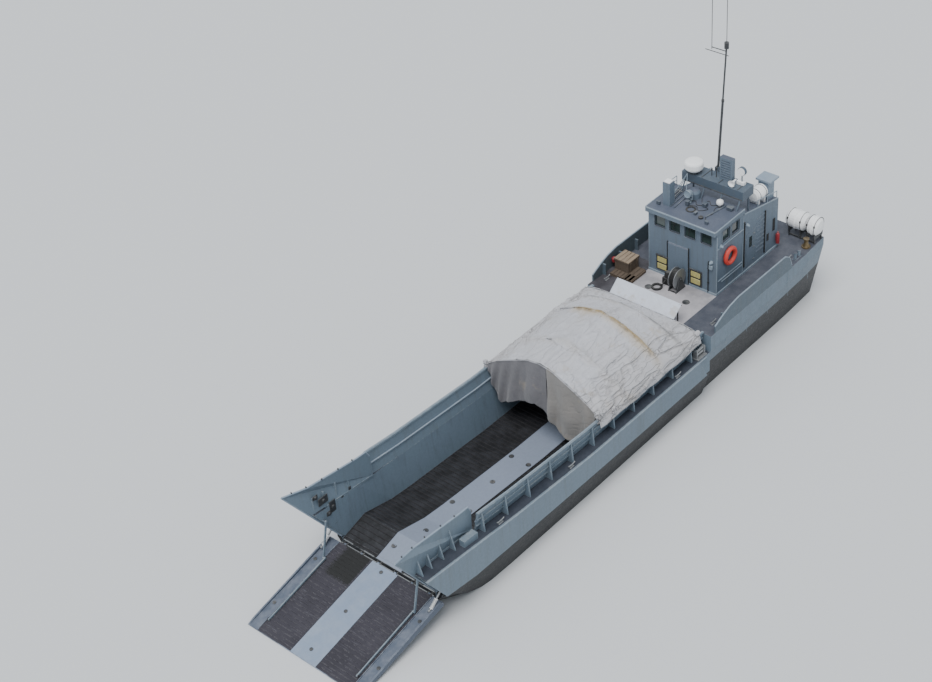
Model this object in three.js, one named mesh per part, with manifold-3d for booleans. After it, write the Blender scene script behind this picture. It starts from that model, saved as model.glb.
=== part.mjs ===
// Military landing craft with its bow ramp down, afloat at rest.
// Millimetres. +X is forward, +Y is port, +Z is up.
// The origin is on the centre line of the flat bottom, halfway between ramp hinge and transom.

import * as THREE from 'three';
import { mergeVertices } from 'three/addons/utils/BufferGeometryUtils.js';
import Module from 'manifold-3d';

const wasm = await Module();
wasm.setup();

// Driving dimensions of the hull
const GAP = 0.3; // between pieces that touch
const HINGE_X = 12000; // ramp hinge, forward end of the well
const TRANSOM_X = -12000;
const DECK_Z = 1800; // well deck at the hinge
const PIVOT_Z = 1700; // ramp hinge pin
const HALF_BEAM = 3000; // hull side under the belts
const BELT = 100; // thickness of the topside belts
const WELL_END_X = -3600; // bulkhead between the well and the aft deck
const AFT_DECK_Z = 3780;
const BULWARK_Z = 4580; // top of the aft bulwarks
const BOW_RAKE = 0.6636; // forward run of the bow edge for each unit of height
const COAMING = 920; // coaming above the side deck
const COAMING_START_X = 9950;
const POST_PITCH = 1238; // posts along the outer face of a coaming

// Driving dimensions of the ramp
const RAMP_LENGTH = 4490;
const RAMP_HALF = 2760;
const TREAD_HALF = 2260;
const STRIP_HALF = 610; // smooth strip between the two treads
const RAMP_DROP = THREE.MathUtils.degToRad(12.6);
const RAMP_TOP = 100; // tread surface above the hinge pin
const PIN_RADIUS = 25;
const PIN_CLEARANCE = 0.6; // all round a pin in its bore
const BORE_SIDES = 20;
const PIN_BORE = PIN_RADIUS + PIN_CLEARANCE;

// Driving dimensions of the wheelhouse, the deckhouse behind it and the canopy
const HOUSE = { front: -5950, back: -7800, half: 1650, wall: 60, roof: 6800 };
const AFT_HOUSE = { back: -10350, topFront: 6650, topBack: 6120 };
const DOOR_THICK = 40;
const CANOPY_THICK = 40;

// Colours: red, green and blue in one number
const PAINT = {
  topside: 0x8295a6,
  house: 0x64788a,
  deck: 0x55565e,
  tread: 0x46424d,
  bottom: 0x1c1e22,
  canvas: 0xb7b5b5,
  white: 0xd9d7d4,
  steel: 0xa9adb0,
  dark: 0x2b2d31,
  glass: 0x17211f,
  orange: 0xc93a24,
  wood: 0x7c6a52,
  bronze: 0x9a7b45,
};

const root = new THREE.Group();
const ramp = new THREE.Group();
ramp.position.set(HINGE_X, 0, PIVOT_Z);
ramp.rotation.y = RAMP_DROP;
root.add(ramp);

function piece(name, geometry, colour, metalness = 0.1, roughness = 0.6, parent = root) {
  const material = new THREE.MeshStandardMaterial({ color: colour, metalness, roughness });
  const mesh = new THREE.Mesh(geometry, material);
  mesh.name = name;
  parent.add(mesh);
  return mesh;
}

// Solids and their joins and cuts

function plain(geometry) {
  const bare = geometry.clone();
  bare.deleteAttribute('normal');
  bare.deleteAttribute('uv');
  return mergeVertices(bare, 1e-3);
}

function solid(geometry) {
  const bare = plain(geometry);
  const vertProperties = new Float32Array(bare.attributes.position.array);
  const triVerts = new Uint32Array(bare.index.array);
  return new wasm.Manifold(new wasm.Mesh({ numProp: 3, vertProperties, triVerts }));
}

function geometryOf(manifold) {
  const mesh = manifold.getMesh();
  const geometry = new THREE.BufferGeometry();
  geometry.setAttribute('position', new THREE.BufferAttribute(mesh.vertProperties, 3));
  geometry.setIndex(new THREE.BufferAttribute(mesh.triVerts, 1));
  return geometry;
}

function join(...geometries) {
  return geometryOf(geometries.map(solid).reduce((all, one) => all.add(one)));
}

function cut(body, ...tools) {
  return geometryOf(tools.map(solid).reduce((rest, tool) => rest.subtract(tool), solid(body)));
}

// Shapes

function box(x0, x1, y0, y1, z0, z1) {
  const geometry = new THREE.BoxGeometry(x1 - x0, y1 - y0, z1 - z0);
  return geometry.translate((x0 + x1) / 2, (y0 + y1) / 2, (z0 + z1) / 2);
}

function cylinder(axis, radius, from, to, a, b, sides = 24) {
  const geometry = new THREE.CylinderGeometry(radius, radius, to - from, sides);
  const middle = (from + to) / 2;
  if (axis === 'x') return geometry.rotateZ(-Math.PI / 2).translate(middle, a, b);
  if (axis === 'y') return geometry.translate(a, middle, b);
  return geometry.rotateX(Math.PI / 2).translate(a, b, middle);
}

// An outline of [x, z] points, carried along Y from y0 to y1
function sideProfile(points, y0, y1) {
  const shape = new THREE.Shape(points.map(([x, z]) => new THREE.Vector2(x, z)));
  const geometry = new THREE.ExtrudeGeometry(shape, { depth: y1 - y0, bevelEnabled: false });
  return geometry.rotateX(Math.PI / 2).translate(0, y1, 0);
}

// An outline of [x, y] points, carried along Z
function planProfile(points, z0, z1) {
  const shape = new THREE.Shape(points.map(([x, y]) => new THREE.Vector2(x, y)));
  const geometry = new THREE.ExtrudeGeometry(shape, { depth: z1 - z0, bevelEnabled: false });
  return geometry.translate(0, 0, z0);
}

function tube(points, radius, sides = 10, steps = 24, closed = false) {
  const route = new THREE.CatmullRomCurve3(points.map((p) => new THREE.Vector3(...p)), closed);
  const section = new THREE.Shape();
  for (let side = 0; side < sides; side++) {
    const turn = (side / sides) * 2 * Math.PI;
    const point = [radius * Math.cos(turn), radius * Math.sin(turn)];
    if (side === 0) section.moveTo(...point);
    else section.lineTo(...point);
  }
  return new THREE.ExtrudeGeometry(section, { steps, extrudePath: route, curveSegments: 1 });
}

function rod(from, to, radius, sides = 10) {
  const a = new THREE.Vector3(...from);
  const b = new THREE.Vector3(...to);
  const geometry = new THREE.CylinderGeometry(radius, radius, a.distanceTo(b), sides);
  const along = b.clone().sub(a).normalize();
  const turn = new THREE.Quaternion().setFromUnitVectors(new THREE.Vector3(0, 1, 0), along);
  return geometry.applyQuaternion(turn).translate(...a.clone().lerp(b, 0.5).toArray());
}

// A solid skinned over rings of [x, y, z] points, each ring with as many points
function loft(rings) {
  const count = rings[0].length;
  const positions = rings.flat(2);
  const faces = [];
  for (let ring = 0; ring + 1 < rings.length; ring++) {
    for (let i = 0; i < count; i++) {
      const j = (i + 1) % count;
      const [a, b, c, d] = [i, j, j + count, i + count].map((n) => n + ring * count);
      faces.push(a, b, c, a, c, d);
    }
  }
  const last = (rings.length - 1) * count;
  for (const [start, ring] of [[0, rings[0]], [last, rings[rings.length - 1]]]) {
    const outline = ring.map(([, y, z]) => new THREE.Vector2(y, z));
    const around = THREE.ShapeUtils.area(outline) > 0;
    for (const [a, b, c] of THREE.ShapeUtils.triangulateShape([...outline], [])) {
      const turn = THREE.ShapeUtils.area([outline[a], outline[b], outline[c]]) > 0;
      const along = (turn === around) === (start !== 0);
      faces.push(a + start, (along ? b : c) + start, (along ? c : b) + start);
    }
  }
  if (signedVolume(positions, faces) < 0) {
    for (let f = 0; f < faces.length; f += 3) [faces[f], faces[f + 1]] = [faces[f + 1], faces[f]];
  }
  const geometry = new THREE.BufferGeometry();
  geometry.setAttribute('position', new THREE.Float32BufferAttribute(positions, 3));
  geometry.setIndex(faces);
  return geometry;
}

function signedVolume(positions, faces) {
  const corner = (n) => new THREE.Vector3(...positions.slice(3 * n, 3 * n + 3));
  let volume = 0;
  for (let f = 0; f < faces.length; f += 3) {
    volume += corner(faces[f]).dot(corner(faces[f + 1]).cross(corner(faces[f + 2]))) / 6;
  }
  return volume;
}

// The same shape on the other side of the centre line
function mirrored(geometry) {
  const copy = plain(geometry).scale(1, -1, 1);
  const index = copy.index.array;
  for (let f = 0; f < index.length; f += 3) [index[f], index[f + 1]] = [index[f + 1], index[f]];
  return copy;
}

function sides(name, geometry, colour, metalness, roughness, parent) {
  piece(`${name}_port`, geometry, colour, metalness, roughness, parent);
  piece(`${name}_starboard`, mirrored(geometry), colour, metalness, roughness, parent);
}

// Value at x between the rows of a table of [x, value], with x falling
function between(table, x) {
  if (x >= table[0][0]) return table[0][1];
  for (let row = 1; row < table.length; row++) {
    const [x1, v1] = table[row];
    const [x0, v0] = table[row - 1];
    if (x >= x1) return v1 + ((v0 - v1) * (x - x1)) / (x0 - x1);
  }
  return table[table.length - 1][1];
}

// Ramp gear, as points in the X, Z plane

// Each stay hangs from a boss on the well's wall, and its lower length lies along the ramp to an ear
const STAY = {
  anchor: [HINGE_X + 600, DECK_Z + 1380],
  elbow: [HINGE_X + 970, DECK_Z - 110],
  foot: [HINGE_X + 3890, DECK_Z - 805],
  upperY: 2225,
  lowerY: 2165,
  thick: 44,
  pin: 20,
};
const STAY_BORE = STAY.pin + PIN_CLEARANCE;

// Each ram's rod runs from a slot in the side tank to an eye between the ramp's kerb and a lug
const RAM = {
  y: 2640,
  half: 35,
  eye: [HINGE_X + 640, DECK_Z - 79],
  tail: [HINGE_X - 140, DECK_Z + 548],
};

// A point of the X, Z plane in the ramp's own level frame
function onRamp([x, z]) {
  const [dx, dz] = [x - HINGE_X, z - PIVOT_Z];
  const [cos, sin] = [Math.cos(RAMP_DROP), Math.sin(RAMP_DROP)];
  return [dx * cos - dz * sin, dx * sin + dz * cos];
}

// Forward hull: two side tanks and a double bottom round the open well

// Sections: x, height and inner edge of the side deck, knuckle height, chine half width and height,
// bottom half width and height, well floor height
const FORWARD_HULL = [
  [11905, 3556, 2362, 2290, 2620, 1850, 2300, 1420, DECK_Z],
  [10700, 3460, 2362, 2060, 2640, 1050, 2300, 780, DECK_Z + 350],
  [9300, 3330, 2470, 1940, 2640, 520, 2250, 180, DECK_Z + 20],
  [8300, 3240, 2490, 1910, 2630, 400, 2200, 0, DECK_Z - 60],
  [4000, 3020, 2490, 1890, 2600, 350, 2180, 0, DECK_Z - 250],
  [WELL_END_X + GAP, 3000, 2490, 2010, 2520, 350, 2150, 0, DECK_Z - 250],
];
const FLOOR_HALF = 2280;
const BOW = { x: 13100, deck: 3651, knuckle: 2520 }; // where the side tanks' lines run out
const TANK_FACE = 255; // side tanks stop this far behind the raked bow edge
const tankFace = (z) => HINGE_X - TANK_FACE + BOW_RAKE * (z - DECK_Z);

// Height of the side deck at x
const SHEER = [[BOW.x, BOW.deck], ...FORWARD_HULL.map(([x, deck]) => [x, deck])];
const sheer = (x) => between(SHEER, x);

function forwardHull() {
  const rings = FORWARD_HULL.map((columns) => {
    const [x, deck, inner, knuckle, chine, chineZ, keel, keelZ, floor] = columns;
    const half = [
      [inner, deck],
      [HALF_BEAM - GAP, deck],
      [HALF_BEAM - GAP, knuckle],
      [chine, chineZ],
      [keel, keelZ],
    ];
    const other = half.map(([y, z]) => [-y, z]).reverse();
    return [...half, ...other, [-FLOOR_HALF, floor], [FLOOR_HALF, floor]].map(([y, z]) => [x, y, z]);
  });
  const [sill, deck, inner, knuckle, chine, chineZ] = FORWARD_HULL[0];
  const tankRing = (x, top, knee) => [
    [x, inner, top],
    [x, HALF_BEAM - GAP, top],
    [x, HALF_BEAM - GAP, knee],
    [x, chine, chineZ],
    [x, FLOOR_HALF + 1, chineZ],
  ];
  const tank = loft([
    tankRing(BOW.x, BOW.deck, BOW.knuckle),
    tankRing(sill, deck, knuckle),
    tankRing(sill - 80, sheer(sill - 80), knuckle - 10),
  ]);
  const ahead = [
    [tankFace(1830), 1830],
    [tankFace(4000), 4000],
    [14500, 4000],
    [14500, 1830],
  ];
  const ramSlot = box(11100, 12900, 2560, 2720, DECK_Z - 60, DECK_Z + 1160);
  const bow = sideProfile(ahead, -3200, 3200);
  const shell = cut(join(loft(rings), tank, mirrored(tank)), bow, ramSlot, mirrored(ramSlot));
  const [anchorX, anchorZ] = STAY.anchor;
  const stayFace = STAY.upperY + STAY.thick / 2;
  const boss = cylinder('y', 45, stayFace + 4, 2400, anchorX, anchorZ, 16);
  const stayPin = cylinder('y', STAY.pin, stayFace - STAY.thick - 10, stayFace + 8, anchorX, anchorZ, 16);
  return join(shell, boss, stayPin, mirrored(boss), mirrored(stayPin));
}
piece('hull_forward', forwardHull(), PAINT.topside, 0.2, 0.55);

// Lower edge of the topside belts: x, z
const BELT_FOOT = [
  [12230, 2330],
  [10600, 2140],
  [6000, 2070],
  [1000, 2050],
  [-3300, 2090],
];

function topsideBelt() {
  const bowEdge = (z) => tankFace(z) + 60;
  const top = SHEER.filter(([x]) => x < HINGE_X && x > WELL_END_X + 800);
  const foot = BELT_FOOT.filter(([x]) => x < HINGE_X).reverse();
  const outline = [
    [bowEdge(3640), 3640],
    ...top,
    [-2800, sheer(-2800)],
    ...foot,
    [bowEdge(2330), 2330],
  ];
  return sideProfile(outline, HALF_BEAM, HALF_BEAM + BELT);
}
sides('topside_belt', topsideBelt(), PAINT.topside, 0.2, 0.5);

// Aft hull with the propeller tunnels

// Sections: x, deck half width, knuckle height, chine half width and height, bottom half width and height
const AFT_HULL = [
  [WELL_END_X, 3050, 3100, 2450, 380, 2150, 0],
  [-8000, 3050, 3130, 2400, 380, 2150, 0],
  [-10400, 3000, 3230, 2380, 450, 2150, 80],
  [TRANSOM_X, 2900, 3400, 2350, 650, 2150, 330],
];
const SHAFT_Y = 1150;
const SHAFT_Z = 470;
const TUNNEL_RADIUS = 510;
const SHAFT_RADIUS = 40;
const SHAFT_BORE = SHAFT_RADIUS + PIN_CLEARANCE;
const PROP_X = -9350;
const RUDDER_X = -10500;
const BOLLARD = { x: -10100, y: 2800 };

function aftHull() {
  const rings = AFT_HULL.map(([x, deck, knuckle, chine, chineZ, keel, keelZ]) => {
    const half = [
      [deck, AFT_DECK_Z],
      [deck, knuckle],
      [chine, chineZ],
      [keel, keelZ],
    ];
    const other = half.map(([y, z]) => [-y, z]).reverse();
    return [...half, ...other].map(([y, z]) => [x, y, z]);
  });
  const tools = [];
  const brackets = [];
  for (const y of [SHAFT_Y, -SHAFT_Y]) {
    tools.push(cylinder('x', TUNNEL_RADIUS, TRANSOM_X - 50, -8300, y, SHAFT_Z, 24));
    tools.push(rod([-8340, y, SHAFT_Z], [-5600, y, -700], TUNNEL_RADIUS - 6, 24));
    tools.push(cylinder('x', SHAFT_BORE, -8900, -6300, y, SHAFT_Z, BORE_SIDES));
    tools.push(cylinder('z', 46, SHAFT_Z + 100, SHAFT_Z + TUNNEL_RADIUS + 200, RUDDER_X, y, 16));
    const ring = cylinder('x', 85, -9100, -8900, y, SHAFT_Z, 20);
    const strut = box(-9080, -8920, y - 15, y + 15, SHAFT_Z + 50, SHAFT_Z + TUNNEL_RADIUS + 60);
    const bore = cylinder('x', SHAFT_BORE, -9200, -8800, y, SHAFT_Z, BORE_SIDES);
    brackets.push(cut(join(ring, strut), bore));
  }
  const bollards = [BOLLARD.y, -BOLLARD.y].flatMap((y) => [
    box(BOLLARD.x - 240, BOLLARD.x + 240, y - 90, y + 90, AFT_DECK_Z - 20, AFT_DECK_Z + 30),
    ...[-140, 140].flatMap((dx) => [
      cylinder('z', 62, AFT_DECK_Z, AFT_DECK_Z + 270, BOLLARD.x + dx, y, 14),
      cylinder('z', 80, AFT_DECK_Z + 265, AFT_DECK_Z + 295, BOLLARD.x + dx, y, 14),
    ]),
  ]);
  return join(cut(loft(rings), ...tools), ...brackets, ...bollards);
}
piece('hull_aft', aftHull(), PAINT.bottom, 0.2, 0.6);

// Side walls of the well

// A bracket of [y, height] points that stands on the side deck at x
function onDeck(x, thick, profile) {
  const ring = (at) => profile.map(([y, up]) => [at, y, sheer(at) + GAP + up]);
  return loft([ring(x + thick / 2), ring(x - thick / 2)]);
}

// The coaming leans outboard, and posts and two rails stiffen its outer face
function coaming() {
  const stations = [COAMING_START_X, 9300, 8300, 4000, WELL_END_X + 60];
  const lean = (up) => 2490 + (185 * up) / COAMING;
  const strip = (from, to, out, thick) =>
    loft(
      stations.map((x) => {
        const z = sheer(x) + GAP;
        return [
          [x, lean(from) + out, z + from],
          [x, lean(from) + out + thick, z + from],
          [x, lean(to) + out + thick, z + to],
          [x, lean(to) + out, z + to],
        ];
      })
    );
  const pieces = [strip(0, COAMING, 0, 50), strip(COAMING - 50, COAMING + 20, -25, 110)];
  for (const height of [300, 610]) pieces.push(strip(height - 25, height + 25, 20, 75));
  const posts = 11;
  for (let post = 0; post < posts; post++) {
    const x = COAMING_START_X - 220 - post * POST_PITCH;
    const profile = [
      [lean(0) + 20, 0],
      [lean(0) + 330, 0],
      [lean(COAMING) + 60, COAMING - 40],
      [lean(COAMING) + 20, COAMING - 40],
    ];
    pieces.push(onDeck(x, 60, profile));
  }
  return join(...pieces);
}
sides('coaming', coaming(), PAINT.topside, 0.2, 0.55);

// The horn carries the well's wall forward over the hinge, with a raked front edge
const HORN_TOP = [
  [COAMING_START_X + 20, 4330],
  [10120, 4590],
  [10570, 4610],
  [12940, 4880],
  [14020, 5070],
];
const HORN = { thick: 50, foot: 2292, lean: 0.045, flareX: 12600, flare: 230 / 1400 };
const HORN_RIBS = [12850, 12350, 11750, 11150];

// The horn's inner face leans outboard as it rises and flares out towards the bow
function hornFace(x, z) {
  return HORN.foot + HORN.lean * (z - DECK_Z) + HORN.flare * Math.max(0, x - HORN.flareX);
}

function hornRib(x) {
  const top = between(HORN_TOP, x) - sheer(x) - 12;
  const [foot, head] = [hornFace(x, sheer(x)), hornFace(x, sheer(x) + top)];
  const profile = [
    [foot + 20, 0],
    [foot + 340, 0],
    [head + 90, top],
    [head + 20, top],
  ];
  return onDeck(x, 50, profile);
}

function horn() {
  const edge = (z, back) => HINGE_X - 190 - back + BOW_RAKE * (z - DECK_Z);
  const tip = HORN_TOP[HORN_TOP.length - 1];
  const outline = [
    ...HORN_TOP.slice(0, -1),
    [edge(tip[1], -60), tip[1]],
    [edge(2500, 0), 2500],
    [edge(1880, 0), 1880],
    [edge(1880, 60), 1880],
    [edge(3000, 60), 3000],
    [edge(3670, 60), 3670],
    [12000, sheer(12000) + 62],
    [10700, sheer(10700) + 62],
    [COAMING_START_X + 20, sheer(COAMING_START_X) + 62],
  ];
  const plate = plain(sideProfile(outline, 0, HORN.thick));
  const place = plate.attributes.position;
  for (let i = 0; i < place.count; i++) {
    place.setY(i, place.getY(i) + hornFace(place.getX(i), place.getZ(i)));
  }
  const sill = loft(
    [12300, 10700, COAMING_START_X + 20].map((x) => {
      const z = sheer(x) + GAP;
      return [
        [x, 2364, z],
        [x, 2450, z],
        [x, 2450, z + 80],
        [x, 2364, z + 80],
      ];
    })
  );
  return join(plate, sill, ...HORN_RIBS.map(hornRib));
}
sides('bow_horn', horn(), PAINT.topside, 0.2, 0.5);

// Aft bulwark: a plate on the deck edge with a swept front corner
function aftBulwark() {
  const foot = AFT_DECK_Z + GAP;
  const outline = [
    [WELL_END_X - 300, foot],
    [WELL_END_X - 300, 4080],
    [-4450, 4330],
    [-4900, 4480],
    [-5500, BULWARK_Z],
    [-8850, BULWARK_Z],
    [-9150, 4380],
    [-9350, foot + 60],
    [-9350, foot],
  ];
  const plate = sideProfile(outline, 2990, 3050);
  const posts = [-4600, -5700, -6800, -7900, -8800].map((x) =>
    sideProfile([[x, foot], [x + 60, foot], [x + 60, 4300], [x, 4300]], 2840, 3000)
  );
  return join(plate, ...posts);
}
sides('aft_bulwark', aftBulwark(), PAINT.topside, 0.2, 0.5);

// Ramp, its sill and its hinge pin

const LUGS = 6;
const LUG_PITCH = (2 * TREAD_HALF - 400) / (LUGS - 1);

function rampSill() {
  const face = HINGE_X - 95 + GAP;
  const bar = box(face, HINGE_X - 70, -TREAD_HALF, TREAD_HALF, PIVOT_Z - 120, DECK_Z);
  const solids = [bar];
  for (let lug = 0; lug < LUGS; lug++) {
    const y = -TREAD_HALF + 200 + lug * LUG_PITCH;
    for (const offset of [-75, 75]) {
      const [y0, y1] = [y + offset - 25, y + offset + 25];
      const cheek = box(HINGE_X - 85, HINGE_X, y0, y1, PIVOT_Z - 45, PIVOT_Z + 45);
      solids.push(cheek, cylinder('y', 45, y0, y1, HINGE_X, PIVOT_Z, 12));
    }
  }
  const bore = cylinder('y', PIN_RADIUS + GAP, -TREAD_HALF - 50, TREAD_HALF + 50, HINGE_X, PIVOT_Z, 16);
  return cut(join(...solids), bore);
}
piece('ramp_sill', rampSill(), PAINT.dark, 0.4, 0.5);
const pin = cylinder('y', PIN_RADIUS, -TREAD_HALF, TREAD_HALF, HINGE_X, PIVOT_Z, 16);
piece('ramp_hinge_pin', pin, PAINT.steel, 0.8, 0.35);

// The ramp is drawn level, from the pin, and its group lowers it
function rampPlate() {
  const outline = [
    [60, RAMP_TOP - 20],
    [RAMP_LENGTH, RAMP_TOP - 20],
    [RAMP_LENGTH, RAMP_TOP - 50],
    [RAMP_LENGTH - 500, RAMP_TOP - 110],
    [60, RAMP_TOP - 190],
  ];
  const solids = [sideProfile(outline, -RAMP_HALF, RAMP_HALF)];
  const strip = [
    [60, RAMP_TOP - 30],
    [60, RAMP_TOP + 12],
    [RAMP_LENGTH - 20, RAMP_TOP + 12],
    [RAMP_LENGTH - 20, RAMP_TOP - 30],
  ];
  solids.push(sideProfile(strip, -STRIP_HALF, STRIP_HALF));
  const kerb = [
    [140, RAMP_TOP - 30],
    [140, RAMP_TOP + 110],
    [RAMP_LENGTH - 300, RAMP_TOP + 45],
    [RAMP_LENGTH, RAMP_TOP - 10],
    [RAMP_LENGTH, RAMP_TOP - 30],
  ];
  for (const side of [1, -1]) {
    const [y0, y1] = [side * RAMP_HALF, side * (RAMP_HALF - 60)].sort((a, b) => a - b);
    solids.push(sideProfile(kerb, y0, y1));
    const [f0, f1] = [side * (TREAD_HALF + 6), side * (TREAD_HALF + 30)].sort((a, b) => a - b);
    solids.push(sideProfile([[140, 70], [140, 118], [4380, 118], [4380, 70]], f0, f1));
    const [eyeX, eyeZ] = onRamp(RAM.eye);
    const lug = [RAM.y - RAM.half - 32, RAM.y - RAM.half - 7];
    const [l0, l1] = lug.map((y) => side * y).sort((a, b) => a - b);
    const [p0, p1] = [lug[0], RAMP_HALF - 55].map((y) => side * y).sort((a, b) => a - b);
    solids.push(box(eyeX - 55, eyeX + 55, l0, l1, RAMP_TOP - 30, eyeZ));
    solids.push(cylinder('y', 55, l0, l1, eyeX, eyeZ, 20));
    solids.push(cylinder('y', PIN_RADIUS, p0, p1, eyeX, eyeZ, 20));
  }
  for (let lug = 0; lug < LUGS; lug++) {
    const y = -TREAD_HALF + 200 + lug * LUG_PITCH;
    solids.push(box(0, 90, y - 43, y + 43, -45, 45), cylinder('y', 45, y - 43, y + 43, 0, 0, 12));
  }
  const bore = cylinder('y', PIN_BORE, -TREAD_HALF - 50, TREAD_HALF + 50, 0, 0, BORE_SIDES);
  return cut(join(...solids), bore);
}
piece('ramp_plate', rampPlate(), PAINT.topside, 0.2, 0.5, ramp);

// Tread bars across each track
function rampTread() {
  const solids = [box(64, RAMP_LENGTH - 20, STRIP_HALF + 6, TREAD_HALF, RAMP_TOP - 20 + GAP, RAMP_TOP)];
  const bars = 27;
  const pitch = (RAMP_LENGTH - 260) / (bars - 1);
  for (let bar = 0; bar < bars; bar++) {
    const x = 130 + bar * pitch;
    solids.push(box(x - 15, x + 15, STRIP_HALF + 30, TREAD_HALF - 24, RAMP_TOP - 5, RAMP_TOP + 22));
  }
  const [footX, footZ] = onRamp(STAY.foot);
  const ear = STAY.lowerY + STAY.thick / 2 + 6;
  solids.push(box(footX - 50, footX + 50, ear, ear + 30, RAMP_TOP - 10, footZ));
  solids.push(cylinder('y', 50, ear, ear + 30, footX, footZ, 20));
  solids.push(cylinder('y', STAY.pin, STAY.lowerY - STAY.thick / 2 - 10, ear + 5, footX, footZ, 20));
  return join(...solids);
}
sides('ramp_tread', rampTread(), PAINT.tread, 0.3, 0.7, ramp);

// A flat bar with round ends and a bore at its first end
function link([x0, z0], [x1, z1], y, width) {
  const [y0, y1] = [y - STAY.thick / 2, y + STAY.thick / 2];
  const along = new THREE.Vector2(x1 - x0, z1 - z0);
  const turn = Math.atan2(along.y, along.x);
  const round = (x, z) => cylinder('y', width / 2, y0, y1, x, z, 20);
  const bar = new THREE.BoxGeometry(along.length(), STAY.thick, width * 0.8);
  bar.rotateY(-turn).translate((x0 + x1) / 2, y, (z0 + z1) / 2);
  const bore = cylinder('y', STAY_BORE, y0 - 10, y1 + 10, x0, z0, BORE_SIDES);
  return cut(join(bar, round(x0, z0), round(x1, z1)), bore);
}

function upperStay() {
  const { anchor, elbow, upperY, lowerY, thick } = STAY;
  const face = lowerY + thick / 2 + GAP;
  const washer = cylinder('y', 40, face, upperY, elbow[0], elbow[1], 20);
  return join(link(anchor, elbow, upperY, 100), washer);
}

function lowerStay() {
  const { foot, elbow, lowerY } = STAY;
  return link(foot, elbow, lowerY, 90);
}
sides('ramp_stay_upper', upperStay(), PAINT.topside, 0.3, 0.5);
sides('ramp_stay_lower', lowerStay(), PAINT.dark, 0.3, 0.6);

function ramRod() {
  const [ex, ez] = RAM.eye;
  const [tx, tz] = RAM.tail;
  const eye = cylinder('y', 60, RAM.y - RAM.half, RAM.y + RAM.half, ex, ez, 20);
  const shank = rod([ex, RAM.y, ez], [tx, RAM.y, tz], RAM.half, 16);
  const bore = cylinder('y', PIN_BORE, RAM.y - 50, RAM.y + 50, ex, ez, BORE_SIDES);
  return cut(join(eye, shank), bore);
}
sides('ramp_ram_rod', ramRod(), PAINT.white, 0.8, 0.25);

// Canopy over the after part of the well: hoops, cover, curtains and the flat aft panel

// Half widths at which each section gives the cover's height
const ARCH_Y = [0, 600, 1150, 1700, 2150, 2500, 2810, 2890];
// Sections: x, then the height at each half width
const CANOPY = [
  [3150, 5360, 5270, 5020, 4760, 4520, 4300, 4030, 3660],
  [1700, 5480, 5400, 5170, 4900, 4630, 4360, 4040, 3620],
  [-600, 5470, 5420, 5260, 5020, 4760, 4460, 4060, 3620],
  [-2000, 5020, 5000, 4900, 4740, 4520, 4290, 4040, 3620],
  [-3150, 4240, 4240, 4240, 4240, 4210, 4150, 4030, 3660],
];

// Arch points from the port eave over the crown to the starboard eave, drawn in by the inset
function arch([x, ...heights], inset) {
  const half = ARCH_Y.map((y, place) => [y, heights[place]]);
  const port = half.map(([y, z], place) => {
    const [ya, za] = place ? half[place - 1] : [-half[1][0], half[1][1]];
    const [yb, zb] = half[Math.min(place + 1, half.length - 1)];
    const along = Math.hypot(yb - ya, zb - za);
    return [x, y - (inset * (za - zb)) / along, z - (inset * (yb - ya)) / along];
  });
  const starboard = port.slice(1).map(([at, y, z]) => [at, -y, z]);
  return [...port.reverse(), ...starboard];
}

// The canopy's row at x, worked out between its sections
function canopyRow(x) {
  return [x, ...ARCH_Y.map((_, place) => between(CANOPY.map((row) => [row[0], row[place + 1]]), x))];
}

// A skin over the canopy's arches, between two insets
function canopySkin(outside, inside, rows = CANOPY) {
  return loft(rows.map((row) => [...arch(row, outside), ...arch(row, inside).reverse()]));
}

piece('canopy_cover', canopySkin(0, CANOPY_THICK), PAINT.canvas, 0, 0.95);

const HOOP = { half: 22, deep: 42, middles: [3090, 1640, -660, -2060, -3090] };

function canopyFrame() {
  const inset = CANOPY_THICK + GAP;
  const clear = canopySkin(-100, inset);
  const solids = [];
  const rib = (x0, x1) => {
    const stations = [x1, ...CANOPY.map(([x]) => x).filter((x) => x > x0 && x < x1), x0];
    return canopySkin(inset - 30, inset + HOOP.deep, stations.map(canopyRow));
  };
  for (const x of HOOP.middles) {
    const foot = sheer(x + HOOP.half) + COAMING + 20 + 2 * GAP;
    const below = box(x - 50, x + 50, -3000, 3000, foot - 600, foot);
    solids.push(cut(rib(x - HOOP.half, x + HOOP.half), below));
    for (const y of [2690, -2830]) {
      solids.push(box(x - HOOP.half, x + HOOP.half, y, y + 140, foot, foot + 45));
    }
  }
  const [first, last] = [HOOP.middles[0], HOOP.middles[HOOP.middles.length - 1]];
  const ridge = box(last, first, -HOOP.half, HOOP.half, 4000, 6000);
  const strip = solid(rib(last, first)).intersect(solid(ridge));
  return cut(join(...solids, geometryOf(strip)), clear);
}
piece('canopy_frame', canopyFrame(), PAINT.steel, 0.6, 0.5);

// Each front curtain hangs from the first hoop: its top follows the cover from one half width to the
// other, and its lower edge is a list of y, z points that goes back
function curtain(y0, y1, lower) {
  const steps = 8;
  const outer = arch(CANOPY[0], 4);
  const topAt = (y) => between(outer.map(([, at, z]) => [at, z]), y);
  const outline = [];
  for (let step = 0; step <= steps; step++) {
    const y = y0 + ((y1 - y0) * step) / steps;
    outline.push([y, topAt(y)]);
  }
  const shape = new THREE.Shape([...outline, ...lower].map(([y, z]) => new THREE.Vector2(y, z)));
  const geometry = new THREE.ExtrudeGeometry(shape, { depth: 36, bevelEnabled: false });
  return geometry.rotateX(Math.PI / 2).rotateZ(Math.PI / 2).translate(CANOPY[0][0] + GAP, 0, 0);
}
const PORT_HEM = [
  [430, 2950],
  [850, 2350],
  [2200, 2350],
  [2250, 2900],
  [2420, 3250],
  [2560, 3880],
];
const STARBOARD_HEM = [
  [-2560, 3880],
  [-2380, 3100],
  [-2050, 2500],
  [-1460, 2900],
  [-230, 3390],
  [290, 3000],
];
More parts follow.
